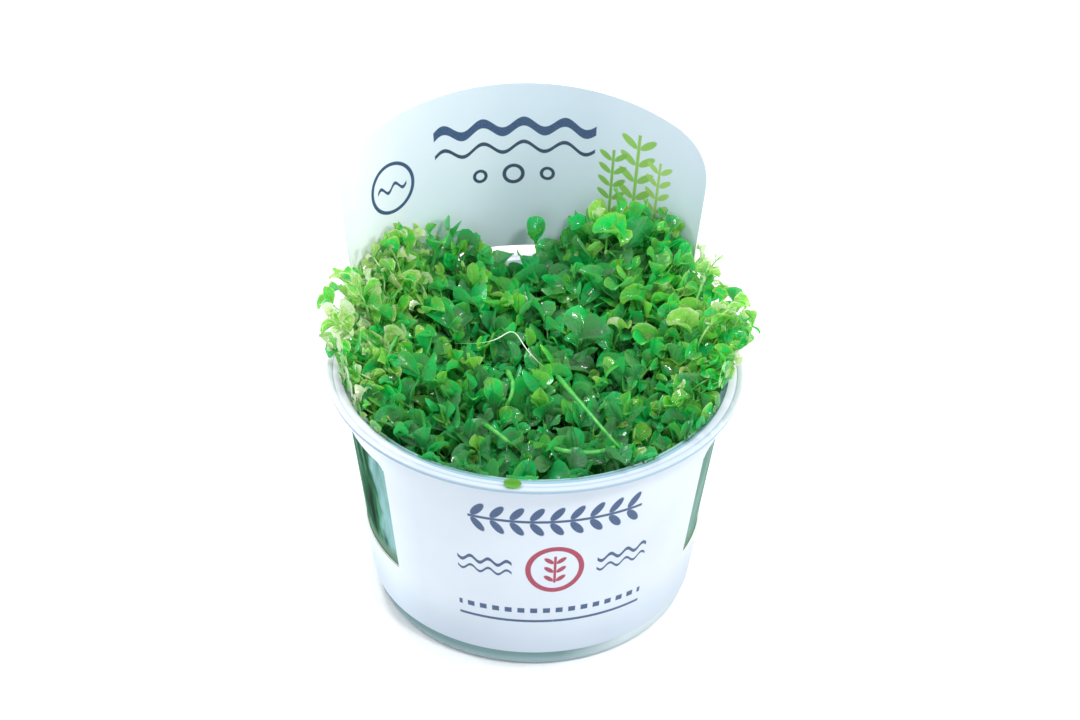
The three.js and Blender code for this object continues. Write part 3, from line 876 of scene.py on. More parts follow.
def makeSleeve(plan, card):
    mesh = makeSleeveSheet(plan)
    tabMiddle = math.pi * plan["radiusAtTop"]
    mesh.materials.append(makeCoatedCard("coatedCardPrintedFront", card["front"], frontPrint))
    mesh.materials.append(makeCoatedCard("coatedCardPrintedTab", card["tab"], tabPrint, tabMiddle, -1))
    mesh.materials.append(makeCoatedCard("cutCardEdge", card["edge"]))
    thin = bpy.data.objects.new("thinCard", mesh)
    bpy.context.scene.collection.objects.link(thin)
    solid = thin.modifiers.new("thickness", "SOLIDIFY")
    solid.thickness = plan["thickness"]
    solid.offset = -1
    solid.material_offset = 1
    solid.material_offset_rim = 2
    addPiece("cardSleeve", finishedMesh(thin), [], ["sleeve"], sharpAngle=40)


makeSleeve(sleevePlan, cardPlan)
print("sleeve made")


# Leaves: narrow ovals on a short stalk. Shares of the leaf's length, from stalk to tip.
leafPlan = {
    "outline": [
        (0, 0.045), (0.08, 0.05), (0.18, 0.11), (0.31, 0.2), (0.45, 0.27), (0.6, 0.3), (0.74, 0.285),
        (0.86, 0.22), (0.945, 0.13), (0.985, 0.06),
    ],
    "across": (-1, -0.5, 0, 0.5, 1),
    "tipRounding": 0.03,
    "formKeys": ("cup", "fold", "bend", "twist", "width", "ruffle", "wobble"),
    "forms": [
        (0.5, 0.3, 35, 10, 1.05, 0.03, 0.03),
        (-0.6, -0.15, 55, 22, 1.15, 0.04, 0.05),
        (1.0, 0.4, -30, -20, 0.95, 0.04, 0.04),
        (0.5, 0.25, 80, 28, 1.2, 0.05, 0.06),
        (-1.1, 0, 25, -30, 0.85, 0.04, 0.05),
        (1.6, 0.5, 50, 14, 1.0, 0.04, 0.04),
        (2.0, 0.3, 75, -26, 1.1, 0.04, 0.06),
        (1.8, 0.2, 115, -34, 1.05, 0.05, 0.06),
        (-1.8, 0, 125, 45, 0.95, 0.06, 0.08),
        (2.4, 0.2, -75, 32, 1.0, 0.05, 0.06),
        (2.8, 0, 150, 18, 1.0, 0.05, 0.06),
        (2.4, 0.1, -135, -50, 0.9, 0.06, 0.08),
    ],
}


# One leaf of length 1 along +X from its stalk, face up. Its midrib follows an arc, and its UV
# map runs across from 0 to 1 and along from 0 to 1.
def makeLeafForm(name, form, outline):
    bend = math.radians(form["bend"])
    vertices, places, faces = [], [], []
    across = leafPlan["across"]
    for row, (along, half) in enumerate(outline):
        for side in across:
            reach = along - leafPlan["tipRounding"] * side * side * along**8
            y = side * half * form["width"] * (1 + form["wobble"] * math.sin(9 * along + 2.4 * side))
            z = form["cup"] * y * y / 0.6 + form["fold"] * abs(y)
            z += form["ruffle"] * side * side * math.sin(9 * along + 2 * side)
            turn = math.radians(form["twist"]) * along
            y, z = y * math.cos(turn) - z * math.sin(turn), y * math.sin(turn) + z * math.cos(turn)
            angle = bend * reach
            x = math.sin(angle) / bend + z * math.sin(angle)
            z = (math.cos(angle) - 1) / bend + z * math.cos(angle)
            vertices.append((x, y, z))
            places.append((0.5 + side / 2, along))
    width = len(across)
    for row in range(len(outline) - 1):
        for side in range(width - 1):
            first = row * width + side
            faces.append((first, first + width, first + width + 1, first + 1))
    mesh = bpy.data.meshes.new(name)
    mesh.from_pydata(vertices, [], faces, shade_flat=False)
    uvLayer = mesh.uv_layers.new(name="leaf")
    for loop in mesh.loops:
        uvLayer.data[loop.index].uv = places[loop.vertex_index]
    return bpy.data.objects.new(name, mesh)


leafForms = bpy.data.collections.new("leafForms")
for index, sizes in enumerate(leafPlan["forms"]):
    form = dict(zip(leafPlan["formKeys"], sizes))
    leafForms.objects.link(makeLeafForm(f"leafForm{index + 1:02d}", form, leafPlan["outline"]))


# Weights of what makes a leaf lighter, painted light and glare among them, and colours that shade
# it, with the painted shade of lower and front leaves.
leafColourAndShade = {
    "freshStops": [
        (0.0, "#5C9C68"), (0.1, "#2AB462"), (0.24, "#0CCC6A"), (0.47, "#1EE670"), (0.64, "#80E242"),
        (0.82, "#B6EE62"), (1.0, "#FAFEE4"),
    ],
    "oldStops": [(0.0, "#64926A"), (0.25, "#50AC58"), (0.6, "#90D24C"), (1.0, "#DCF09C")],
    "contrastStart": -0.7,
    "contrast": {"tint": 0.36, "mottle": 1.2, "margin": 0.5, "midrib": 0.3},
    "shadeStart": -0.28,
    "shade": {
        "glareAndContrast": 1.0, "tint": 0.36, "pale": 0.4, "mottle": 0.16, "patch": 0.44, "midrib": 0.08,
        "margin": 0.16, "veins": 0.03, "tip": 0.14,
    },
    "lowerLeaves": "#6A9A70",
    "frontLeaves": "#E0E2E6",
    "throughLight": "#82EC7C",
}


# Fresh leaf: deep to yellow green by age and by painted light, pale along the midrib, paler at the
# margin and towards the tip, partly as painted rim light and highlight, with a waxy gloss, and
# light glows through it.
def makeLeafMaterial(name, freshStops, oldStops):
    material, tree, place = newMaterial(name)
    tint, pale, along = (
        addNode(tree, "ShaderNodeAttribute", attribute_name=name).outputs["Fac"]
        for name in ("tint", "pale", "along")
    )
    sheet = addNode(tree, "ShaderNodeUVMap", uv_map="leaf")
    leaf = addNode(tree, "ShaderNodeSeparateXYZ", {"Vector": sheet}).outputs
    side = addNode(tree, "ShaderNodeMath", (leaf["X"], 0.5), operation="SUBTRACT")
    side = addNode(tree, "ShaderNodeMath", (side,), operation="ABSOLUTE")
    veinWave = addNode(tree, "ShaderNodeMath", (side, -3.2), operation="MULTIPLY")
    veinWave = addNode(tree, "ShaderNodeMath", (leaf["Y"], 6, veinWave), operation="MULTIPLY_ADD")
    veinWave = addNode(tree, "ShaderNodeMath", (veinWave, 0.5), operation="PINGPONG")
    marks = {
        "tint": tint,
        "pale": pale,
        "midrib": addNode(tree, "ShaderNodeMapRange", (side, 0.02, 0.1, 1, 0)),
        "margin": addNode(tree, "ShaderNodeMapRange", (side, 0.4, 0.5)),
        "tip": addNode(tree, "ShaderNodeMapRange", (leaf["Y"], 0.6, 1)),
        "veins": addNode(tree, "ShaderNodeMapRange", (veinWave, 0, 0.12, 1, 0)),
        "mottle": addNode(tree, "ShaderNodeTexNoise", (place, 1 / (1.3 * mm), 3)),
        "patch": addNode(tree, "ShaderNodeTexNoise", (place, 1 / (14 * mm))),
    }
    # On pale leaves, painted glare in whitish patches from the mottle, painted rim light at the margin, a
    # lighter midrib and a wider spread of tone.
    glareAndContrast = leafColourAndShade["contrastStart"]
    for mark, weight in leafColourAndShade["contrast"].items():
        values = (marks[mark], weight, glareAndContrast)
        glareAndContrast = addNode(tree, "ShaderNodeMath", values, operation="MULTIPLY_ADD")
    marks["glareAndContrast"] = addNode(tree, "ShaderNodeMath", (glareAndContrast, pale), operation="MULTIPLY")
    shade = leafColourAndShade["shadeStart"]
    for mark, weight in leafColourAndShade["shade"].items():
        values = (marks[mark], weight, shade)
        shade = addNode(tree, "ShaderNodeMath", values, operation="MULTIPLY_ADD")

    # Older clumps are duller. Leaves low on their stems are darker and greyer, and leaves at the front
    # darker: painted shade, less of it where the growth is pale.
    fresh = addNode(tree, "ShaderNodeValToRGB", {"Fac": shade}, freshStops)
    old = addNode(tree, "ShaderNodeValToRGB", {"Fac": shade}, oldStops)
    clump = addNode(tree, "ShaderNodeTexNoise", (place, 1 / (5 * mm)))
    age = addNode(tree, "ShaderNodeMapRange", (clump, 0.46, 0.56, 0, 0.75))
    colour = addNode(tree, "ShaderNodeMix", (age, fresh, old), data_type="RGBA")
    dense = addNode(tree, "ShaderNodeMapRange", (pale, 0.06, 0.36, 1, 0.25))
    low = addNode(tree, "ShaderNodeMapRange", (along, 0.88, 0.55, 0, 0.8))
    low = addNode(tree, "ShaderNodeMath", (low, dense), operation="MULTIPLY")
    lowerShade = linearColour(leafColourAndShade["lowerLeaves"])
    colour = addNode(tree, "ShaderNodeMix", (low, colour, lowerShade), data_type="RGBA")
    forward = addNode(tree, "ShaderNodeSeparateXYZ", {"Vector": place}).outputs["Y"]
    forward = addNode(tree, "ShaderNodeMapRange", (forward, -12 * mm, -30 * mm))
    forward = addNode(tree, "ShaderNodeMath", (forward, dense), operation="MULTIPLY")
    values = (forward, colour, linearColour(leafColourAndShade["frontLeaves"]))
    colour = addNode(tree, "ShaderNodeMix", values, data_type="RGBA", blend_type="MULTIPLY")

    # Blisters and veins under the wax, and the wax's own wider swells.
    values = (marks["veins"], 0.3, marks["midrib"])
    relief = addNode(tree, "ShaderNodeMath", values, operation="MULTIPLY_ADD")
    relief = addNode(tree, "ShaderNodeMath", (marks["mottle"], 1.4, relief), operation="MULTIPLY_ADD")
    bump = addNode(tree, "ShaderNodeBump", {"Height": relief, "Strength": 0.9, "Distance": 0.3 * mm})
    swell = addNode(tree, "ShaderNodeTexNoise", (place, 1 / (2.4 * mm), 2.5))
    gloss = addNode(tree, "ShaderNodeBump", {"Height": swell, "Strength": 0.7, "Distance": 0.5 * mm})
    values = {
        "Base Color": colour,
        "Roughness": addNode(tree, "ShaderNodeMapRange", (marks["mottle"], 0.3, 0.7, 0.24, 0.4)),
        "IOR": 1.45,
        "Specular IOR Level": addNode(tree, "ShaderNodeMapRange", (pale, 0.15, 0.7, 0.25, 0.6)),
        "Coat Weight": 1.0,
        "Coat Roughness": 0.13,
        "Coat IOR": 1.6,
        "Normal": bump,
        "Coat Normal": gloss,
    }
    face = addNode(tree, "ShaderNodeBsdfPrincipled", values)
    throughLight = linearColour(leafColourAndShade["throughLight"])
    through = addNode(tree, "ShaderNodeMix", (0.3, colour, throughLight), data_type="RGBA")
    glow = addNode(tree, "ShaderNodeBsdfTranslucent", {"Color": through, "Normal": bump})
    blade = addNode(tree, "ShaderNodeMixShader", (0.5, face, glow))
    addNode(tree, "ShaderNodeOutputMaterial", {"Surface": blade})
    return material


# Stems: the length of their faces as a share of the leaf spacing, how much thinner they end,
# and how far their leaves turn up from the stem's own direction.
stemPlan = {
    "stepShare": 1.1,
    "sides": 5,
    "thinning": -0.45,
    "upwardPull": (0, 0, 0.6),
    "stops": [(0.2, "#3FA04A"), (0.5, "#62B852"), (0.95, "#C2E49A")],
}


# Young stem: pale green, smooth and juicy, a little translucent.
def makeStemMaterial():
    material, tree, place = newMaterial("youngGreenStem")
    pale = addNode(tree, "ShaderNodeAttribute", attribute_name="pale").outputs["Fac"]
    streak = addNode(tree, "ShaderNodeTexNoise", (place, 1 / (2.2 * mm)))
    # The pale value is painted light at the pot's sides and higher up; it is set low for the stems behind
    # the wall and the bare stems, which makes them darker.
    shade = addNode(tree, "ShaderNodeMath", (pale, 0.5, streak), operation="MULTIPLY_ADD")
    values = {
        "Base Color": addNode(tree, "ShaderNodeValToRGB", {"Fac": shade}, stemPlan["stops"]),
        "Roughness": 0.35,
        "IOR": 1.4,
        "Subsurface Weight": 0.3,
        "Subsurface Scale": 0.4 * mm,
    }
    surface = addNode(tree, "ShaderNodeBsdfPrincipled", values)
    addNode(tree, "ShaderNodeOutputMaterial", {"Surface": surface})
    return material


# Chances that a leaf takes, as its lowest and highest values.
leafChances = {
    "swing": (-0.6, 0.6),
    "nod": (-1.0, 1.0),
    "roll": (-1.0, 1.0),
    "growth": (-1.0, 1.0),
    "anyForm": (0.0, 7.4),
    "lightness": (0.0, 1.0),
    "breadth": (0.64, 1.16),
    "curledLightness": (0.0, 0.7),
}

# The sums that place, turn, size and tint a leaf. A row is a name, an operation and its terms,
# where a word stands for an earlier row, a chance, an attribute of the stem or an input.
leafSums = [
    ("turn", "ADD", "pairTurn", "turn"),
    ("turn", "ADD", "turn", "swing"),
    ("climb", "POWER", "along", 2.0),
    ("span", "SUBTRACT", "Upper Lift", "Lower Lift"),
    ("lift", "MULTIPLY_ADD", "span", "climb", "Lower Lift"),
    ("nod", "MULTIPLY", "Unevenness", "nod"),
    ("roll", "MULTIPLY", "Unevenness", "roll"),
    ("pitch", "ADD", "lift", "nod"),
    ("pitch", "MULTIPLY", "pitch", -1.0),
    ("atTip", "POWER", "along", 6.0),
    ("freshTip", "MULTIPLY", "atTip", "fresh"),
    ("smaller", "MULTIPLY", "freshTip", 0.3),
    ("youth", "MULTIPLY_ADD", "atTip", -0.2, 1.0),
    ("youth", "SUBTRACT", "youth", "smaller"),
    ("growth", "MULTIPLY_ADD", "Size Spread", "growth", 1.0),
    ("length", "MULTIPLY", "youth", "growth"),
    ("length", "MULTIPLY", "length", "vigour"),
    ("length", "MULTIPLY", "length", "Leaf Length"),
    ("breadth", "MULTIPLY", "length", "breadth"),
    ("curl", "MULTIPLY", "curl", 4.5),
    ("pick", "ADD", "anyForm", "curl"),
    ("curled", "GREATER_THAN", "pick", 7.4),
    ("form", "FLOOR", "pick"),
    ("tint", "MULTIPLY_ADD", "curled", "curledLightness", "lightness"),
    ("tint", "MULTIPLY_ADD", "freshTip", 1.3, "tint"),
]


# Grows leaves in opposite pairs, each pair across the last, along stems that are mesh edges.
def makeLeafyStems():
    tree = bpy.data.node_groups.new("leafyStems", "GeometryNodeTree")
    for name, kind in [
        ("Geometry", "Geometry"), ("Leaf Forms", "Collection"), ("Leaf Spacing", "Float"),
        ("Leaf Length", "Float"), ("Size Spread", "Float"), ("First Leaf", "Float"),
        ("Lower Lift", "Float"), ("Upper Lift", "Float"), ("Unevenness", "Float"),
        ("Stem Radius", "Float"), ("Seed", "Int"), ("Leaf Material", "Material"),
        ("Stem Material", "Material"),
    ]:
        tree.interface.new_socket(name, in_out="INPUT", socket_type=f"NodeSocket{kind}")
    tree.interface.new_socket("Geometry", in_out="OUTPUT", socket_type="NodeSocketGeometry")
    given = dict(addNode(tree, "NodeGroupInput").outputs.items())
    stem = {}
    for name in ("vigour", "turn", "fresh", "curl", "along", "joint", "blade"):
        stem[name] = addNode(tree, "GeometryNodeInputNamedAttribute", {"Name": name})
    edges = addNode(tree, "GeometryNodeMeshToCurve", {"Mesh": given["Geometry"]})
    curve = addNode(tree, "GeometryNodeCurveSplineType", {"Curve": edges}, spline_type="CATMULL_ROM")
    spline = addNode(tree, "GeometryNodeSplineParameter").outputs

    # Stems, thinner towards the tip.
    values = (given["Leaf Spacing"], stemPlan["stepShare"])
    step = addNode(tree, "ShaderNodeMath", values, operation="MULTIPLY")
    fine = addNode(tree, "GeometryNodeResampleCurve", {"Curve": curve, "Length": step}, mode="LENGTH")
    radius = addNode(tree, "ShaderNodeMath", (given["Stem Radius"], stem["vigour"]), operation="MULTIPLY")
    values = (spline["Factor"], stemPlan["thinning"], 1.0)
    thinning = addNode(tree, "ShaderNodeMath", values, operation="MULTIPLY_ADD")
    radius = addNode(tree, "ShaderNodeMath", (radius, thinning), operation="MULTIPLY")
    values = {"Resolution": stemPlan["sides"], "Radius": 1.0}
    section = addNode(tree, "GeometryNodeCurvePrimitiveCircle", values)
    values = {"Curve": fine, "Profile Curve": section, "Scale": radius, "Fill Caps": True}
    tube = addNode(tree, "GeometryNodeCurveToMesh", values)
    pieces = [addNode(tree, "GeometryNodeSetShadeSmooth", {"Geometry": tube})]

    # Leaf pairs at the stems' joints.
    values = {"Curve": curve, "Length": given["Leaf Spacing"]}
    joints = addNode(tree, "GeometryNodeResampleCurve", values, mode="LENGTH")
    for name, value in [("blade", 1.0), ("along", spline["Factor"]), ("joint", spline["Index"])]:
        values = {"Geometry": joints, "Name": name, "Value": value}
        joints = addNode(tree, "GeometryNodeStoreNamedAttribute", values, domain="POINT")
    values = (stem["along"], given["First Leaf"])
    leafy = addNode(tree, "FunctionNodeCompare", values, operation="GREATER_EQUAL")
    values = {"Collection": given["Leaf Forms"], "Separate Children": True, "Reset Children": True}
    forms = addNode(tree, "GeometryNodeCollectionInfo", values)
    tangent = addNode(tree, "GeometryNodeInputTangent")
    upward = addNode(tree, "ShaderNodeVectorMath", (tangent, stemPlan["upwardPull"]), operation="ADD")
    stand = addNode(tree, "FunctionNodeAlignRotationToVector", {"Vector": upward}, axis="Z")
    for side in (0, 1):
        leaf = {**given, **stem}
        for number, (name, (low, high)) in enumerate(leafChances.items()):
            seed = addNode(tree, "ShaderNodeMath", (given["Seed"], 10 * side + number + 1), operation="ADD")
            leaf[name] = addNode(tree, "FunctionNodeRandomValue", {2: low, 3: high, "Seed": seed})
        values = (stem["joint"], math.pi / 2, math.pi * side)
        leaf["pairTurn"] = addNode(tree, "ShaderNodeMath", values, operation="MULTIPLY_ADD")
        for name, operation, *terms in leafSums:
            terms = [leaf.get(term, term) for term in terms]
            leaf[name] = addNode(tree, "ShaderNodeMath", terms, operation=operation)
        spin = addNode(tree, "ShaderNodeCombineXYZ", (leaf["roll"], leaf["pitch"], leaf["turn"]))
        spin = addNode(tree, "FunctionNodeEulerToRotation", {"Euler": spin})
        aim = addNode(tree, "FunctionNodeRotateRotation", (stand, spin), rotation_space="LOCAL")
        scale = addNode(tree, "ShaderNodeCombineXYZ", (leaf["length"], leaf["breadth"], leaf["length"]))
        values = {"Geometry": joints, "Name": "tint", "Value": leaf["tint"]}
        points = addNode(tree, "GeometryNodeStoreNamedAttribute", values, domain="POINT")
        values = {
            "Points": points, "Selection": leafy, "Instance": forms, "Pick Instance": True,
            "Instance Index": leaf["form"], "Rotation": aim, "Scale": scale,
        }
        pieces.append(addNode(tree, "GeometryNodeInstanceOnPoints", values))
    joined = addNode(tree, "GeometryNodeJoinGeometry")
    for piece in reversed(pieces):
        tree.links.new(piece.outputs[0], joined.inputs[0])
    real = addNode(tree, "GeometryNodeRealizeInstances", {"Geometry": joined})
    values = {"Geometry": real, "Material": given["Stem Material"]}
    stemmed = addNode(tree, "GeometryNodeSetMaterial", values)
    isBlade = addNode(tree, "FunctionNodeCompare", (stem["blade"], 0.5), operation="GREATER_THAN")
    values = {"Geometry": stemmed, "Selection": isBlade, "Material": given["Leaf Material"]}
    dressed = addNode(tree, "GeometryNodeSetMaterial", values)
    addNode(tree, "NodeGroupOutput", {"Geometry": dressed})
    return tree


leafyStems = makeLeafyStems()
greenLeaf = makeLeafMaterial("waxyFreshLeaf", leafColourAndShade["freshStops"], leafColourAndShade["oldStops"])
stemGreen = makeStemMaterial()


# Each stem is a dictionary: its points, how pale, curled and vigorous it is, its turn, and how
# pale and small its newest leaves are. The look gives the tree's inputs.
def growStems(name, stems, look, seed):
    vertices, edges = [], []
    values = {"pale": [], "curl": [], "vigour": [], "turn": [], "fresh": []}
    for stem in stems:
        first = len(vertices)
        vertices += [Vector(point) * mm for point in stem["points"]]
        edges += [(i, i + 1) for i in range(first, len(vertices) - 1)]
        for key, listed in values.items():
            listed += [stem[key]] * len(stem["points"])
    mesh = bpy.data.meshes.new(name)
    mesh.from_pydata(vertices, edges, [])
    for key, listed in values.items():
        mesh.attributes.new(key, "FLOAT", "POINT").data.foreach_set("value", listed)
    grower = bpy.data.objects.new(name, mesh)
    bpy.context.scene.collection.objects.link(grower)
    modifier = grower.modifiers.new("leafyStems", "NODES")
    modifier.node_group = leafyStems
    inputs = {"Leaf Forms": leafForms, "Leaf Material": greenLeaf, "Stem Material": stemGreen}
    inputs.update(look, Seed=seed)
    for socket in leafyStems.interface.items_tree:
        if socket.name in inputs:
            modifier[socket.identifier] = inputs[socket.name]
    return finishedMesh(grower)


# How far leaves reach out over the mouth: to its edge in front, and over the flange at the sides
# and the back. The gaps keep them off the wall, the flange and the tab.
edgePlan = {
    "reach": 45.2,
    "leftReach": 46.6,
    "rightReach": 46.4,
    "leftStart": -20,
    "rightStart": 18,
    "sideRun": 12,
    "overhang": 7.2,
    "overhangStart": -13,
    "overhangRun": 12,
    "limit": 53.4,
    "softness": 2,
    "wallGap": 1.2,
    "wallTop": 1.2,
    "flangeMargin": 0.8,
    "flangeGap": 0.35,
    "tabGap": 0.9,
    "tabMargin": 3,
}


# Keeps leaves off the hard parts: inside the pot's wall, on top of its flange, before the tab.
def settle(mesh, plan):
    co = np.empty(len(mesh.vertices) * 3)
    mesh.vertices.foreach_get("co", co)
    co = co.reshape(-1, 3) / mm
    x, y, z = co.T
    radius = np.hypot(x, y)
    safeRadius = np.maximum(radius, 1)
    top = potPlan["flangeTop"]
    wall = potPlan["mouthRadius"] - plan["wallGap"] + sleevePlan["taper"] * (np.minimum(z, top) - top)
    below = z < top - plan["wallTop"]
    inward = np.where(below & (radius > wall), wall / safeRadius, 1)
    over = ~below & (radius > potPlan["mouthRadius"] - plan["flangeMargin"])
    backward = np.clip((y - plan["overhangStart"]) / plan["overhangRun"], 0, 1)
    toLeft = np.clip((plan["leftStart"] - x) / plan["sideRun"], 0, 1)
    toRight = np.clip((x - plan["rightStart"]) / plan["sideRun"], 0, 1)
    reach = plan["reach"] + (plan["leftReach"] - plan["reach"]) * toLeft
    reach += (plan["rightReach"] - plan["reach"]) * toRight
    reach += plan["overhang"] * backward * backward * (3 - 2 * backward)
    reach = np.minimum(reach, plan["limit"])
    soft = plan["softness"]
    spare = np.maximum(radius - (reach - soft), 0)
    held = np.minimum(radius, reach - soft) + soft * np.tanh(spare / soft)
    inward = np.where(~below, held / safeRadius, inward)
    turn = math.radians(sleevePlan["turn"])
    across = x * math.cos(turn) + y * math.sin(turn)
    fromTab = np.degrees(np.abs(np.arctan2(across, y * math.cos(turn) - x * math.sin(turn))))
    floor = top + plan["flangeGap"]
    z[:] = np.where(over & (z < floor), floor, z)
    tab = sleevePlan["radiusAtTop"] - plan["tabGap"] + sleevePlan["taper"] * (z - sleevePlan["top"])
    nearTab = over & (fromTab < sleevePlan["tabHalfAngle"] + plan["tabMargin"]) & (radius > tab)
    inward = np.where(nearTab & (inward * radius > tab), tab / safeRadius, inward)
    co[:, :2] *= inward[:, None]
    mesh.vertices.foreach_set("co", (co * mm).ravel())
    mesh.update()


# A piece of growth: its stems are grown, kept off the hard parts and put in place of a solid.
def growPiece(name, node, stems, look, seed):
    mesh = growStems(name, stems, look, seed)
    settle(mesh, edgePlan)
    addPiece(name, mesh, [], [node], scale=1)
    print(name, "has", len(stems), "stems and", len(mesh.polygons), "faces")


# The canopy's shape, the same as the solids': leaf tips over the rim.
canopyPlan = {
    "frontHeight": -1,
    "riseToBack": 0.06,
    "mounds": [(25, 32, 19, 14), (-30, 30, 13, 13), (-43, -3, 13, 13), (43, -2, 14, 12)],
    "growthShare": 0.85,
    "growthSetDown": 7,
    "lumpHeight": 1.3,
}


def canopyHeight(x, y):
    height = canopyPlan["frontHeight"] + canopyPlan["riseToBack"] * (y + potPlan["mouthRadius"])
    for moundX, moundY, rise, spread in canopyPlan["mounds"]:
        away = math.hypot(x - moundX, y - moundY) / spread
        height += rise * math.exp(-0.5 * away * away)
    return height


def growthHeight(x, y):
    lumps = math.sin(0.47 * x + 0.9) * math.cos(0.41 * y) + 0.6 * math.sin(0.83 * (x - y))
    rise = canopyPlan["growthShare"] * canopyHeight(x, y) - canopyPlan["growthSetDown"]
    return potPlan["height"] + rise + canopyPlan["lumpHeight"] * lumps


# A repeatable number from 0 to 1, as in the solids' source.
def scatter(index, kind):
    wave = math.sin(index * 12.9898 + kind * 78.233) * 43758.5453
    return wave - math.floor(wave)


# Small rises and dips of the leaves on the solids' canopy: x, y, rise and spread.
ownMounds = [
    (-24, 35, 0.8, 7), (-39, 20, 7, 5), (-8, 42, -7, 4),
    (3, 41, -9, 5), (10, 37, 6.5, 5), (31, 30, 0.5, 7),
]


def ownRise(x, y):
    height = 0
    for moundX, moundY, rise, spread in ownMounds:
        away = math.hypot(x - moundX, y - moundY) / spread
        height += rise * math.exp(-0.5 * away * away)
    return height


# How pale and how curled the growth is at a place: most at the pot's two sides, and more higher
# up. The paleness is painted light on the leaves and stems.
palePlan = {"left": (0.54, 17), "right": (0.38, 14), "full": 42, "high": (0.2, 64, 82)}


def paleness(x, z):
    most, start = palePlan["left"] if x < 0 else palePlan["right"]
    highShare, low, high = palePlan["high"]
    return most * smoothStep(abs(x), start, palePlan["full"]) + highShare * smoothStep(z, low, high)


def curlOf(pale):
    return min(1.4 * pale, 1)


sprigPlan = {
    "count": 34,
    "spacing": 6.75,
    "goldenAngle": 137.508,
    "socketDepth": 4.5,
    "headSetDown": 3.5,
    "headUnevenness": 3,
    "sideLean": 0.1,
    "rootInset": 0.93,
    "smallerAtSides": (0.2, 18, 36),
    "freshPower": {"left": 0.4, "rest": 0.8, "leftEnd": -12},
    "outstanding": {"turn": 0.5, "fresh": 0.4},
    "look": {
        "Leaf Spacing": 2.5 * mm,
        "Leaf Length": 8.2 * mm,
        "Size Spread": 0.42,
        "First Leaf": 0.3,
        "Lower Lift": math.radians(12),
        "Upper Lift": math.radians(64),
        "Unevenness": math.radians(42),
        "Stem Radius": 0.5 * mm,
    },
}

outstandingSprigs = {
    "upright_sprig": [(0, 38.5, 67), (-0.5, 39.5, 71)],
    "stray_sprig": [(41, -3, 76), (46.6, -3, 82)],
    "tall_right_sprig": [(40, 12, 79), (42.5, 12.5, 84)],
    "tall_left_sprig": [(-42, 7, 76), (-46.5, 8, 80.5)],
    "drooping_sprig": [(-42.5, -6, 68.5), (-47, -6.5, 69)],
}

outstandingLooks = {
    "upright_sprig": {
        "Leaf Length": 7 * mm,
        "First Leaf": 0.8,
        "Lower Lift": math.radians(70),
        "Upper Lift": math.radians(82),
        "Unevenness": math.radians(8),
    },
    "stray_sprig": {"Leaf Length": 7 * mm, "First Leaf": 0.7},
    "tall_right_sprig": {"Leaf Length": 5.6 * mm, "Leaf Spacing": 2.2 * mm, "First Leaf": 0.45},
    "tall_left_sprig": {"Leaf Length": 6 * mm, "Leaf Spacing": 2.2 * mm},
    "drooping_sprig": {"Leaf Length": 7.5 * mm},
}


def crowdedStem(index, plan):
    radius = plan["spacing"] * math.sqrt(index + 0.5)
    angle = math.radians(index * plan["goldenAngle"])
    x, y = radius * math.cos(angle), radius * math.sin(angle)
    root = growthHeight(x, y) - plan["socketDepth"]
    lean = plan["sideLean"] * math.cos(angle) ** 2
    uneven = plan["headUnevenness"] * (scatter(index, 1) - 0.5)
    tip = potPlan["height"] + canopyHeight(x, y) - plan["headSetDown"] + uneven + ownRise(x, y)
    points = [
        (x, y, root),
        (x, y, root + plan["socketDepth"]),
        (x * (1 + 0.4 * lean), y * (1 + 0.4 * lean), 0.3 * root + 0.7 * tip),
        (x * (1 + lean), y * (1 + lean), tip),
    ]
    return points, math.radians(360 * scatter(index, 2))


def outstandingStem(name, plan):
    over = outstandingSprigs[name]
    x, y = plan["rootInset"] * over[0][0], plan["rootInset"] * over[0][1]
    root = growthHeight(x, y) - plan["socketDepth"]
    return [(x, y, root), (x, y, root + plan["socketDepth"]), *over]


# How vigorous a stem is: less at the pot's two sides.
def sideVigour(x, plan):
    share, start, full = plan["smallerAtSides"]
    return 1 - share * smoothStep(abs(x), start, full)


def makeSprigs(plan):
    made = [(f"sprig_{i + 1:02d}", *crowdedStem(i, plan)) for i in range(plan["count"])]
    power, outstanding = plan["freshPower"], plan["outstanding"]
    made += [(name, outstandingStem(name, plan), outstanding["turn"]) for name in outstandingSprigs]
    for index, (node, points, turn) in enumerate(made):
        x, y, z = points[-1]
        pale = paleness(x, z)
        fresh = scatter(index, 3)
        if node in outstandingSprigs:
            fresh *= outstanding["fresh"]
        else:
            fresh **= power["left"] if x < power["leftEnd"] else power["rest"]
        stem = {
            "points": points,
            "pale": pale,
            "curl": curlOf(pale),
            "vigour": sideVigour(x, plan),
            "turn": turn,
            "fresh": fresh,
        }
        look = {**plan["look"], **outstandingLooks.get(node, {})}
        words = node.split("_")
        name = words[0] + "".join(word.capitalize() for word in words[1:]) + "Leaves"
        growPiece(name, node, [stem], look, index)


makeSprigs(sprigPlan)
print("sprigs grown")


growthPlan = {
    "seed": 7,
    "reach": 45,
    "stemSpacing": 3.8,
    "clearOfSprigs": 2.4,
    "stemLength": 22,
    "headDrop": (2, 8),
    "wander": 4,
    "sideLean": 0.12,
    "tries": 9000,
    "closerAtSides": (0.24, 22, 36),
    "vigour": (0.7, 1.15),
    "smallerAtSides": (0.22, 18, 36),
    "freshChoices": ((0, 0), (0, 0.5), (0, 1), (0.6, 1), (1.2, 1)),  # Most of the pot, its left side.
    "leftEnd": -12,
    "seeds": {"leaves": 500, "lowerStems": 900},
    "look": {
        "Leaf Spacing": 2.85 * mm,
        "Leaf Length": 8.4 * mm,
        "Size Spread": 0.42,
        "First Leaf": 0.42,
        "Lower Lift": math.radians(10),
        "Upper Lift": math.radians(60),
        "Unevenness": math.radians(46),
        "Stem Radius": 0.42 * mm,
    },
}

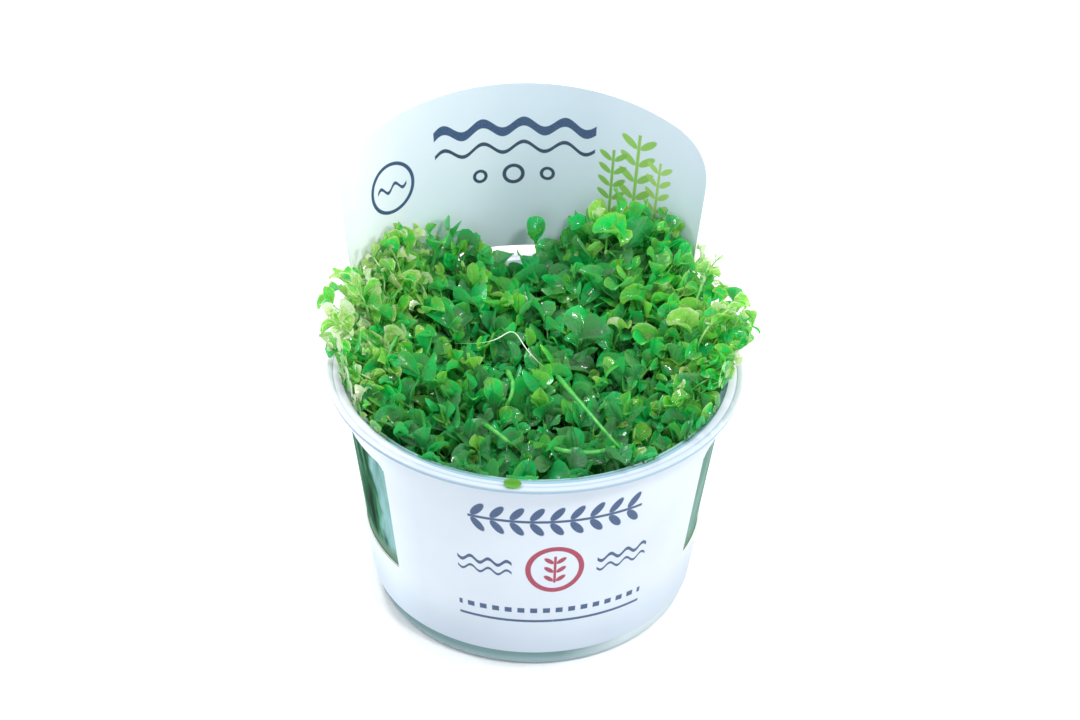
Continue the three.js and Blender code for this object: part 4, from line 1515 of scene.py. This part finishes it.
# Stems behind the pot's wall: four in five stand in the windows, given in degrees from the front.
wallPlan = {
    "count": 170,
    "windows": (50, 118),
    "inset": (0.6, 6),
    "height": (48, 60),
    "sway": 0.05,
    "steps": 4,
    "pale": (-0.35, -0.1),
    "curl": 0.2,
    "vigour": (0.8, 1.05),
    "look": {"Leaf Spacing": 5.6 * mm, "Leaf Length": 8 * mm, "First Leaf": 0.0},
}
fullTurn = 6.28


# Places for stems, scattered no closer than their spacing, and clear of the sprigs' own stems.
def scatteredPlaces(plan, taken):
    dice = random.Random(plan["seed"])
    places = []
    for _ in range(plan["tries"]):
        radius = plan["reach"] * math.sqrt(dice.random())
        angle = 2 * math.pi * dice.random()
        x, y = radius * math.cos(angle), radius * math.sin(angle)
        share, start, full = plan["closerAtSides"]
        closer = 1 - share * smoothStep(abs(x), start, full)
        if any(math.hypot(x - a, y - b) < plan["stemSpacing"] * closer for a, b in places):
            continue
        if any(math.hypot(x - a, y - b) < plan["clearOfSprigs"] for a, b in taken):
            continue
        places.append((x, y))
    return places


def wallStems(plan, dice):
    stems = []
    low, high = plan["windows"]
    for index in range(plan["count"]):
        if index % 5:
            fromFront = dice.uniform(low, high) * dice.choice((-1, 1))
        else:
            fromFront = dice.uniform(-180, 180)
        bearing = math.radians(fromFront - 90 + sleevePlan["turn"])
        inset = dice.uniform(*plan["inset"])
        height = dice.uniform(*plan["height"])
        points = []
        for step in range(plan["steps"] + 1):
            z = jellyPlan["top"] + (height - jellyPlan["top"]) * step / plan["steps"]
            radius = potInnerRadius(z) - inset
            bearing += dice.uniform(-plan["sway"], plan["sway"])
            points.append((radius * math.cos(bearing), radius * math.sin(bearing), z))
        stems.append(
            {
                "points": points,
                "pale": dice.uniform(*plan["pale"]),
                "curl": plan["curl"],
                "vigour": dice.uniform(*plan["vigour"]),
                "turn": dice.uniform(0, fullTurn),
                "fresh": 0,
            }
        )
    return stems


# Each stem starts low and aside, sways once and leans outwards at its head.
def makeUndergrowth(plan, taken):
    dice = random.Random(plan["seed"] + 1)
    stems = []
    for x, y in scatteredPlaces(plan, taken):
        lean = 1 + plan["sideLean"] * math.cos(math.atan2(y, x)) ** 2
        tip = potPlan["height"] + canopyHeight(x, y) + ownRise(x, y) - dice.uniform(*plan["headDrop"])
        base = max(tip - plan["stemLength"], jellyPlan["top"])
        swayX, swayY = dice.uniform(-1, 1) * plan["wander"], dice.uniform(-1, 1) * plan["wander"]
        points = [
            (x * 0.96 + swayX, y * 0.96 + swayY, base),
            (x * 0.97 - 0.4 * swayY, y * 0.97 + 0.4 * swayX, base + 0.45 * (tip - base)),
            (x, y, base + 0.8 * (tip - base)),
            (x * lean + 0.3 * swayY, y * lean - 0.3 * swayX, tip),
        ]
        pale = paleness(x, tip)
        stems.append(
            {
                "points": points,
                "pale": pale - 0.1,
                "curl": curlOf(pale),
                "vigour": dice.uniform(*plan["vigour"]) * sideVigour(x, plan),
                "turn": dice.uniform(0, fullTurn),
                "fresh": dice.choice(plan["freshChoices"])[1 if x < plan["leftEnd"] else 0],
            }
        )
    front = [stem for stem in stems if stem["points"][2][1] < 0]
    back = [stem for stem in stems if stem["points"][2][1] >= 0]
    for name, half in (("frontGrowth", front), ("backGrowth", back)):
        growPiece(name, "undergrowth", half, plan["look"], plan["seeds"]["leaves"])
    look = {**plan["look"], **wallPlan["look"]}
    behindWall = wallStems(wallPlan, dice)
    growPiece("lowerStems", "undergrowth", behindWall, look, plan["seeds"]["lowerStems"])


sprigPlaces = [crowdedStem(i, sprigPlan)[0][0][:2] for i in range(sprigPlan["count"])]
makeUndergrowth(growthPlan, sprigPlaces)


# Bare pale stems that lean or lie between the leaves.
barePlan = {
    "courses": [
        [(5.5, -5.6, 62), (8.3, -15.5, 65), (12.5, -24.8, 65.8), (16.6, -32.3, 65.4), (19.7, -33.4, 62)],
        [(-32.2, 13.5, 64), (-32.9, 0.9, 69), (-34.3, -6.7, 69.5), (-35.5, -8.3, 66)],
        [(3.4, -31.9, 61), (6.6, -37.8, 64.2), (11.1, -39.2, 64.8), (15.7, -37.9, 64.4), (20.4, -30.5, 61)],
        [(-11.5, -25.2, 62), (-9.0, -32.6, 65.5), (-6.2, -35.6, 65.2), (-4.9, -33.5, 62)],
        [(-6.4, -6.8, 64), (-5.1, -15.2, 66.5), (-5.4, -20.1, 66.5), (-6.5, -20.6, 64)],
    ],
    "pale": -0.3,
    "seed": 40,
    "look": {"First Leaf": 2.0, "Stem Radius": 0.72 * mm, "Leaf Spacing": 1.2 * mm},
}


def makeRecliningStems(plan):
    plain = {"pale": plan["pale"], "curl": 0, "vigour": 1, "turn": 0, "fresh": 0}
    stems = [{"points": course, **plain} for course in plan["courses"]]
    look = {**growthPlan["look"], **plan["look"]}
    mesh = growStems("recliningStems", stems, look, plan["seed"])
    addPiece("recliningStems", mesh, [], ["undergrowth"], scale=1)


makeRecliningStems(barePlan)


# The fallen leaf on the flange's front.
fallenPlan = {
    "form": (-0.1, 0, 6, 0, 0.92, 0.01, 0),
    "outline": [
        (0, 0.1), (0.03, 0.2), (0.13, 0.34), (0.3, 0.43), (0.5, 0.46), (0.7, 0.43), (0.87, 0.32),
        (0.95, 0.2), (0.99, 0.09),
    ],
    "length": 4.1,
    "place": (-6.4, -48, 62.5),
    "freshStops": [(0.0, "#6CBE1E"), (0.5, "#84CC2A"), (1.0, "#B4DE5A")],
    "oldStops": [(0, "#76C022"), (1, "#AADA50")],
}


def makeFallenLeaf(plan):
    leaf = makeLeafForm("fallenLeaf", dict(zip(leafPlan["formKeys"], plan["form"])), plan["outline"])
    mesh = leaf.data
    bpy.data.objects.remove(leaf)
    mesh.transform(Matrix.Scale(plan["length"], 4))
    mesh.transform(Matrix.Translation(plan["place"]))
    along = mesh.attributes.new("along", "FLOAT", "POINT")
    along.data.foreach_set("value", [1.0] * len(mesh.vertices))
    lime = makeLeafMaterial("paleFallenLeaf", plan["freshStops"], plan["oldStops"])
    addPiece("fallenLeaf", mesh, [lime], ["loose_leaf"])


makeFallenLeaf(fallenPlan)

# A fine white aerial root that loops over the leaves, finer at its start and green at its ends.
rootPlan = {
    "course": [
        (-20.2, 5.6, 63.5), (-16.2, 2.3, 65.6), (-12.1, 1.1, 66.8),
        (-8.8, 1.8, 67.6), (-6.4, 4.3, 68.4), (-4.5, 3.6, 68.2),
        (-2.7, -0.8, 67.2), (-0.1, -3.7, 65.8), (2.6, -4.5, 63.5),
    ],
    "radii": (0.1, 0.1, 0.1, 0.17, 0.17, 0.17, 0.17, 0.17, 0.17),
    "sides": 6,
    "crest": (-5, 1.5, 68),
    "whiteWithin": (5, 9),
    "hairStops": [(0.3, "#CFE3C4"), (0.7, "#EEF5E8")],
    "green": "#86C07E",
}


# Young root: white and smooth, faintly streaked, greener away from its crest.
def makeRootMaterial(plan):
    material, tree, place = newMaterial("youngWhiteRoot")
    hairs = addNode(tree, "ShaderNodeTexNoise", (place, 1 / (1.2 * mm)))
    white = addNode(tree, "ShaderNodeValToRGB", {"Fac": hairs}, plan["hairStops"])
    crest = tuple(value * mm for value in plan["crest"])
    away = addNode(tree, "ShaderNodeVectorMath", (place, crest), operation="DISTANCE")
    greener = addNode(tree, "ShaderNodeMapRange", (away, *(reach * mm for reach in plan["whiteWithin"])))
    colour = addNode(tree, "ShaderNodeMix", (greener, white, linearColour(plan["green"])), data_type="RGBA")
    values = {"Base Color": colour, "Roughness": 0.35, "IOR": 1.4}
    surface = addNode(tree, "ShaderNodeBsdfPrincipled", values)
    addNode(tree, "ShaderNodeOutputMaterial", {"Surface": surface})
    return material


def makeRoot(plan):
    course, count = plan["course"], plan["sides"]
    vertices, faces = [], []
    for index, point in enumerate(course):
        before, after = course[max(index - 1, 0)], course[min(index + 1, len(course) - 1)]
        along = (Vector(after) - Vector(before)).normalized()
        side = along.cross(Vector((0, 0, 1))).normalized()
        up = side.cross(along)
        swell = math.sin(math.pi * (index + 1.4) / (len(course) + 1.8)) ** 0.5
        for i in range(count):
            turn = 2 * math.pi * i / count
            outward = math.cos(turn) * side + math.sin(turn) * up
            vertices.append(Vector(point) + plan["radii"][index] * swell * outward)
    for row in range(len(course) - 1):
        for i in range(count):
            j = (i + 1) % count
            faces.append((row * count + i, row * count + j, (row + 1) * count + j, (row + 1) * count + i))
    faces.append(tuple(reversed(range(count))))
    faces.append(tuple(range(len(vertices) - count, len(vertices))))
    mesh = bpy.data.meshes.new("aerialRoot")
    mesh.from_pydata(vertices, [], faces, shade_flat=False)
    root = addPiece("aerialRoot", mesh, [makeRootMaterial(plan)], ["undergrowth"])
    smooth = root.modifiers.new("smooth", "SUBSURF")
    smooth.levels = 2
    smooth.render_levels = 2


makeRoot(rootPlan)
for leaf in list(leafForms.objects):
    bpy.data.objects.remove(leaf)
print("leaves made")
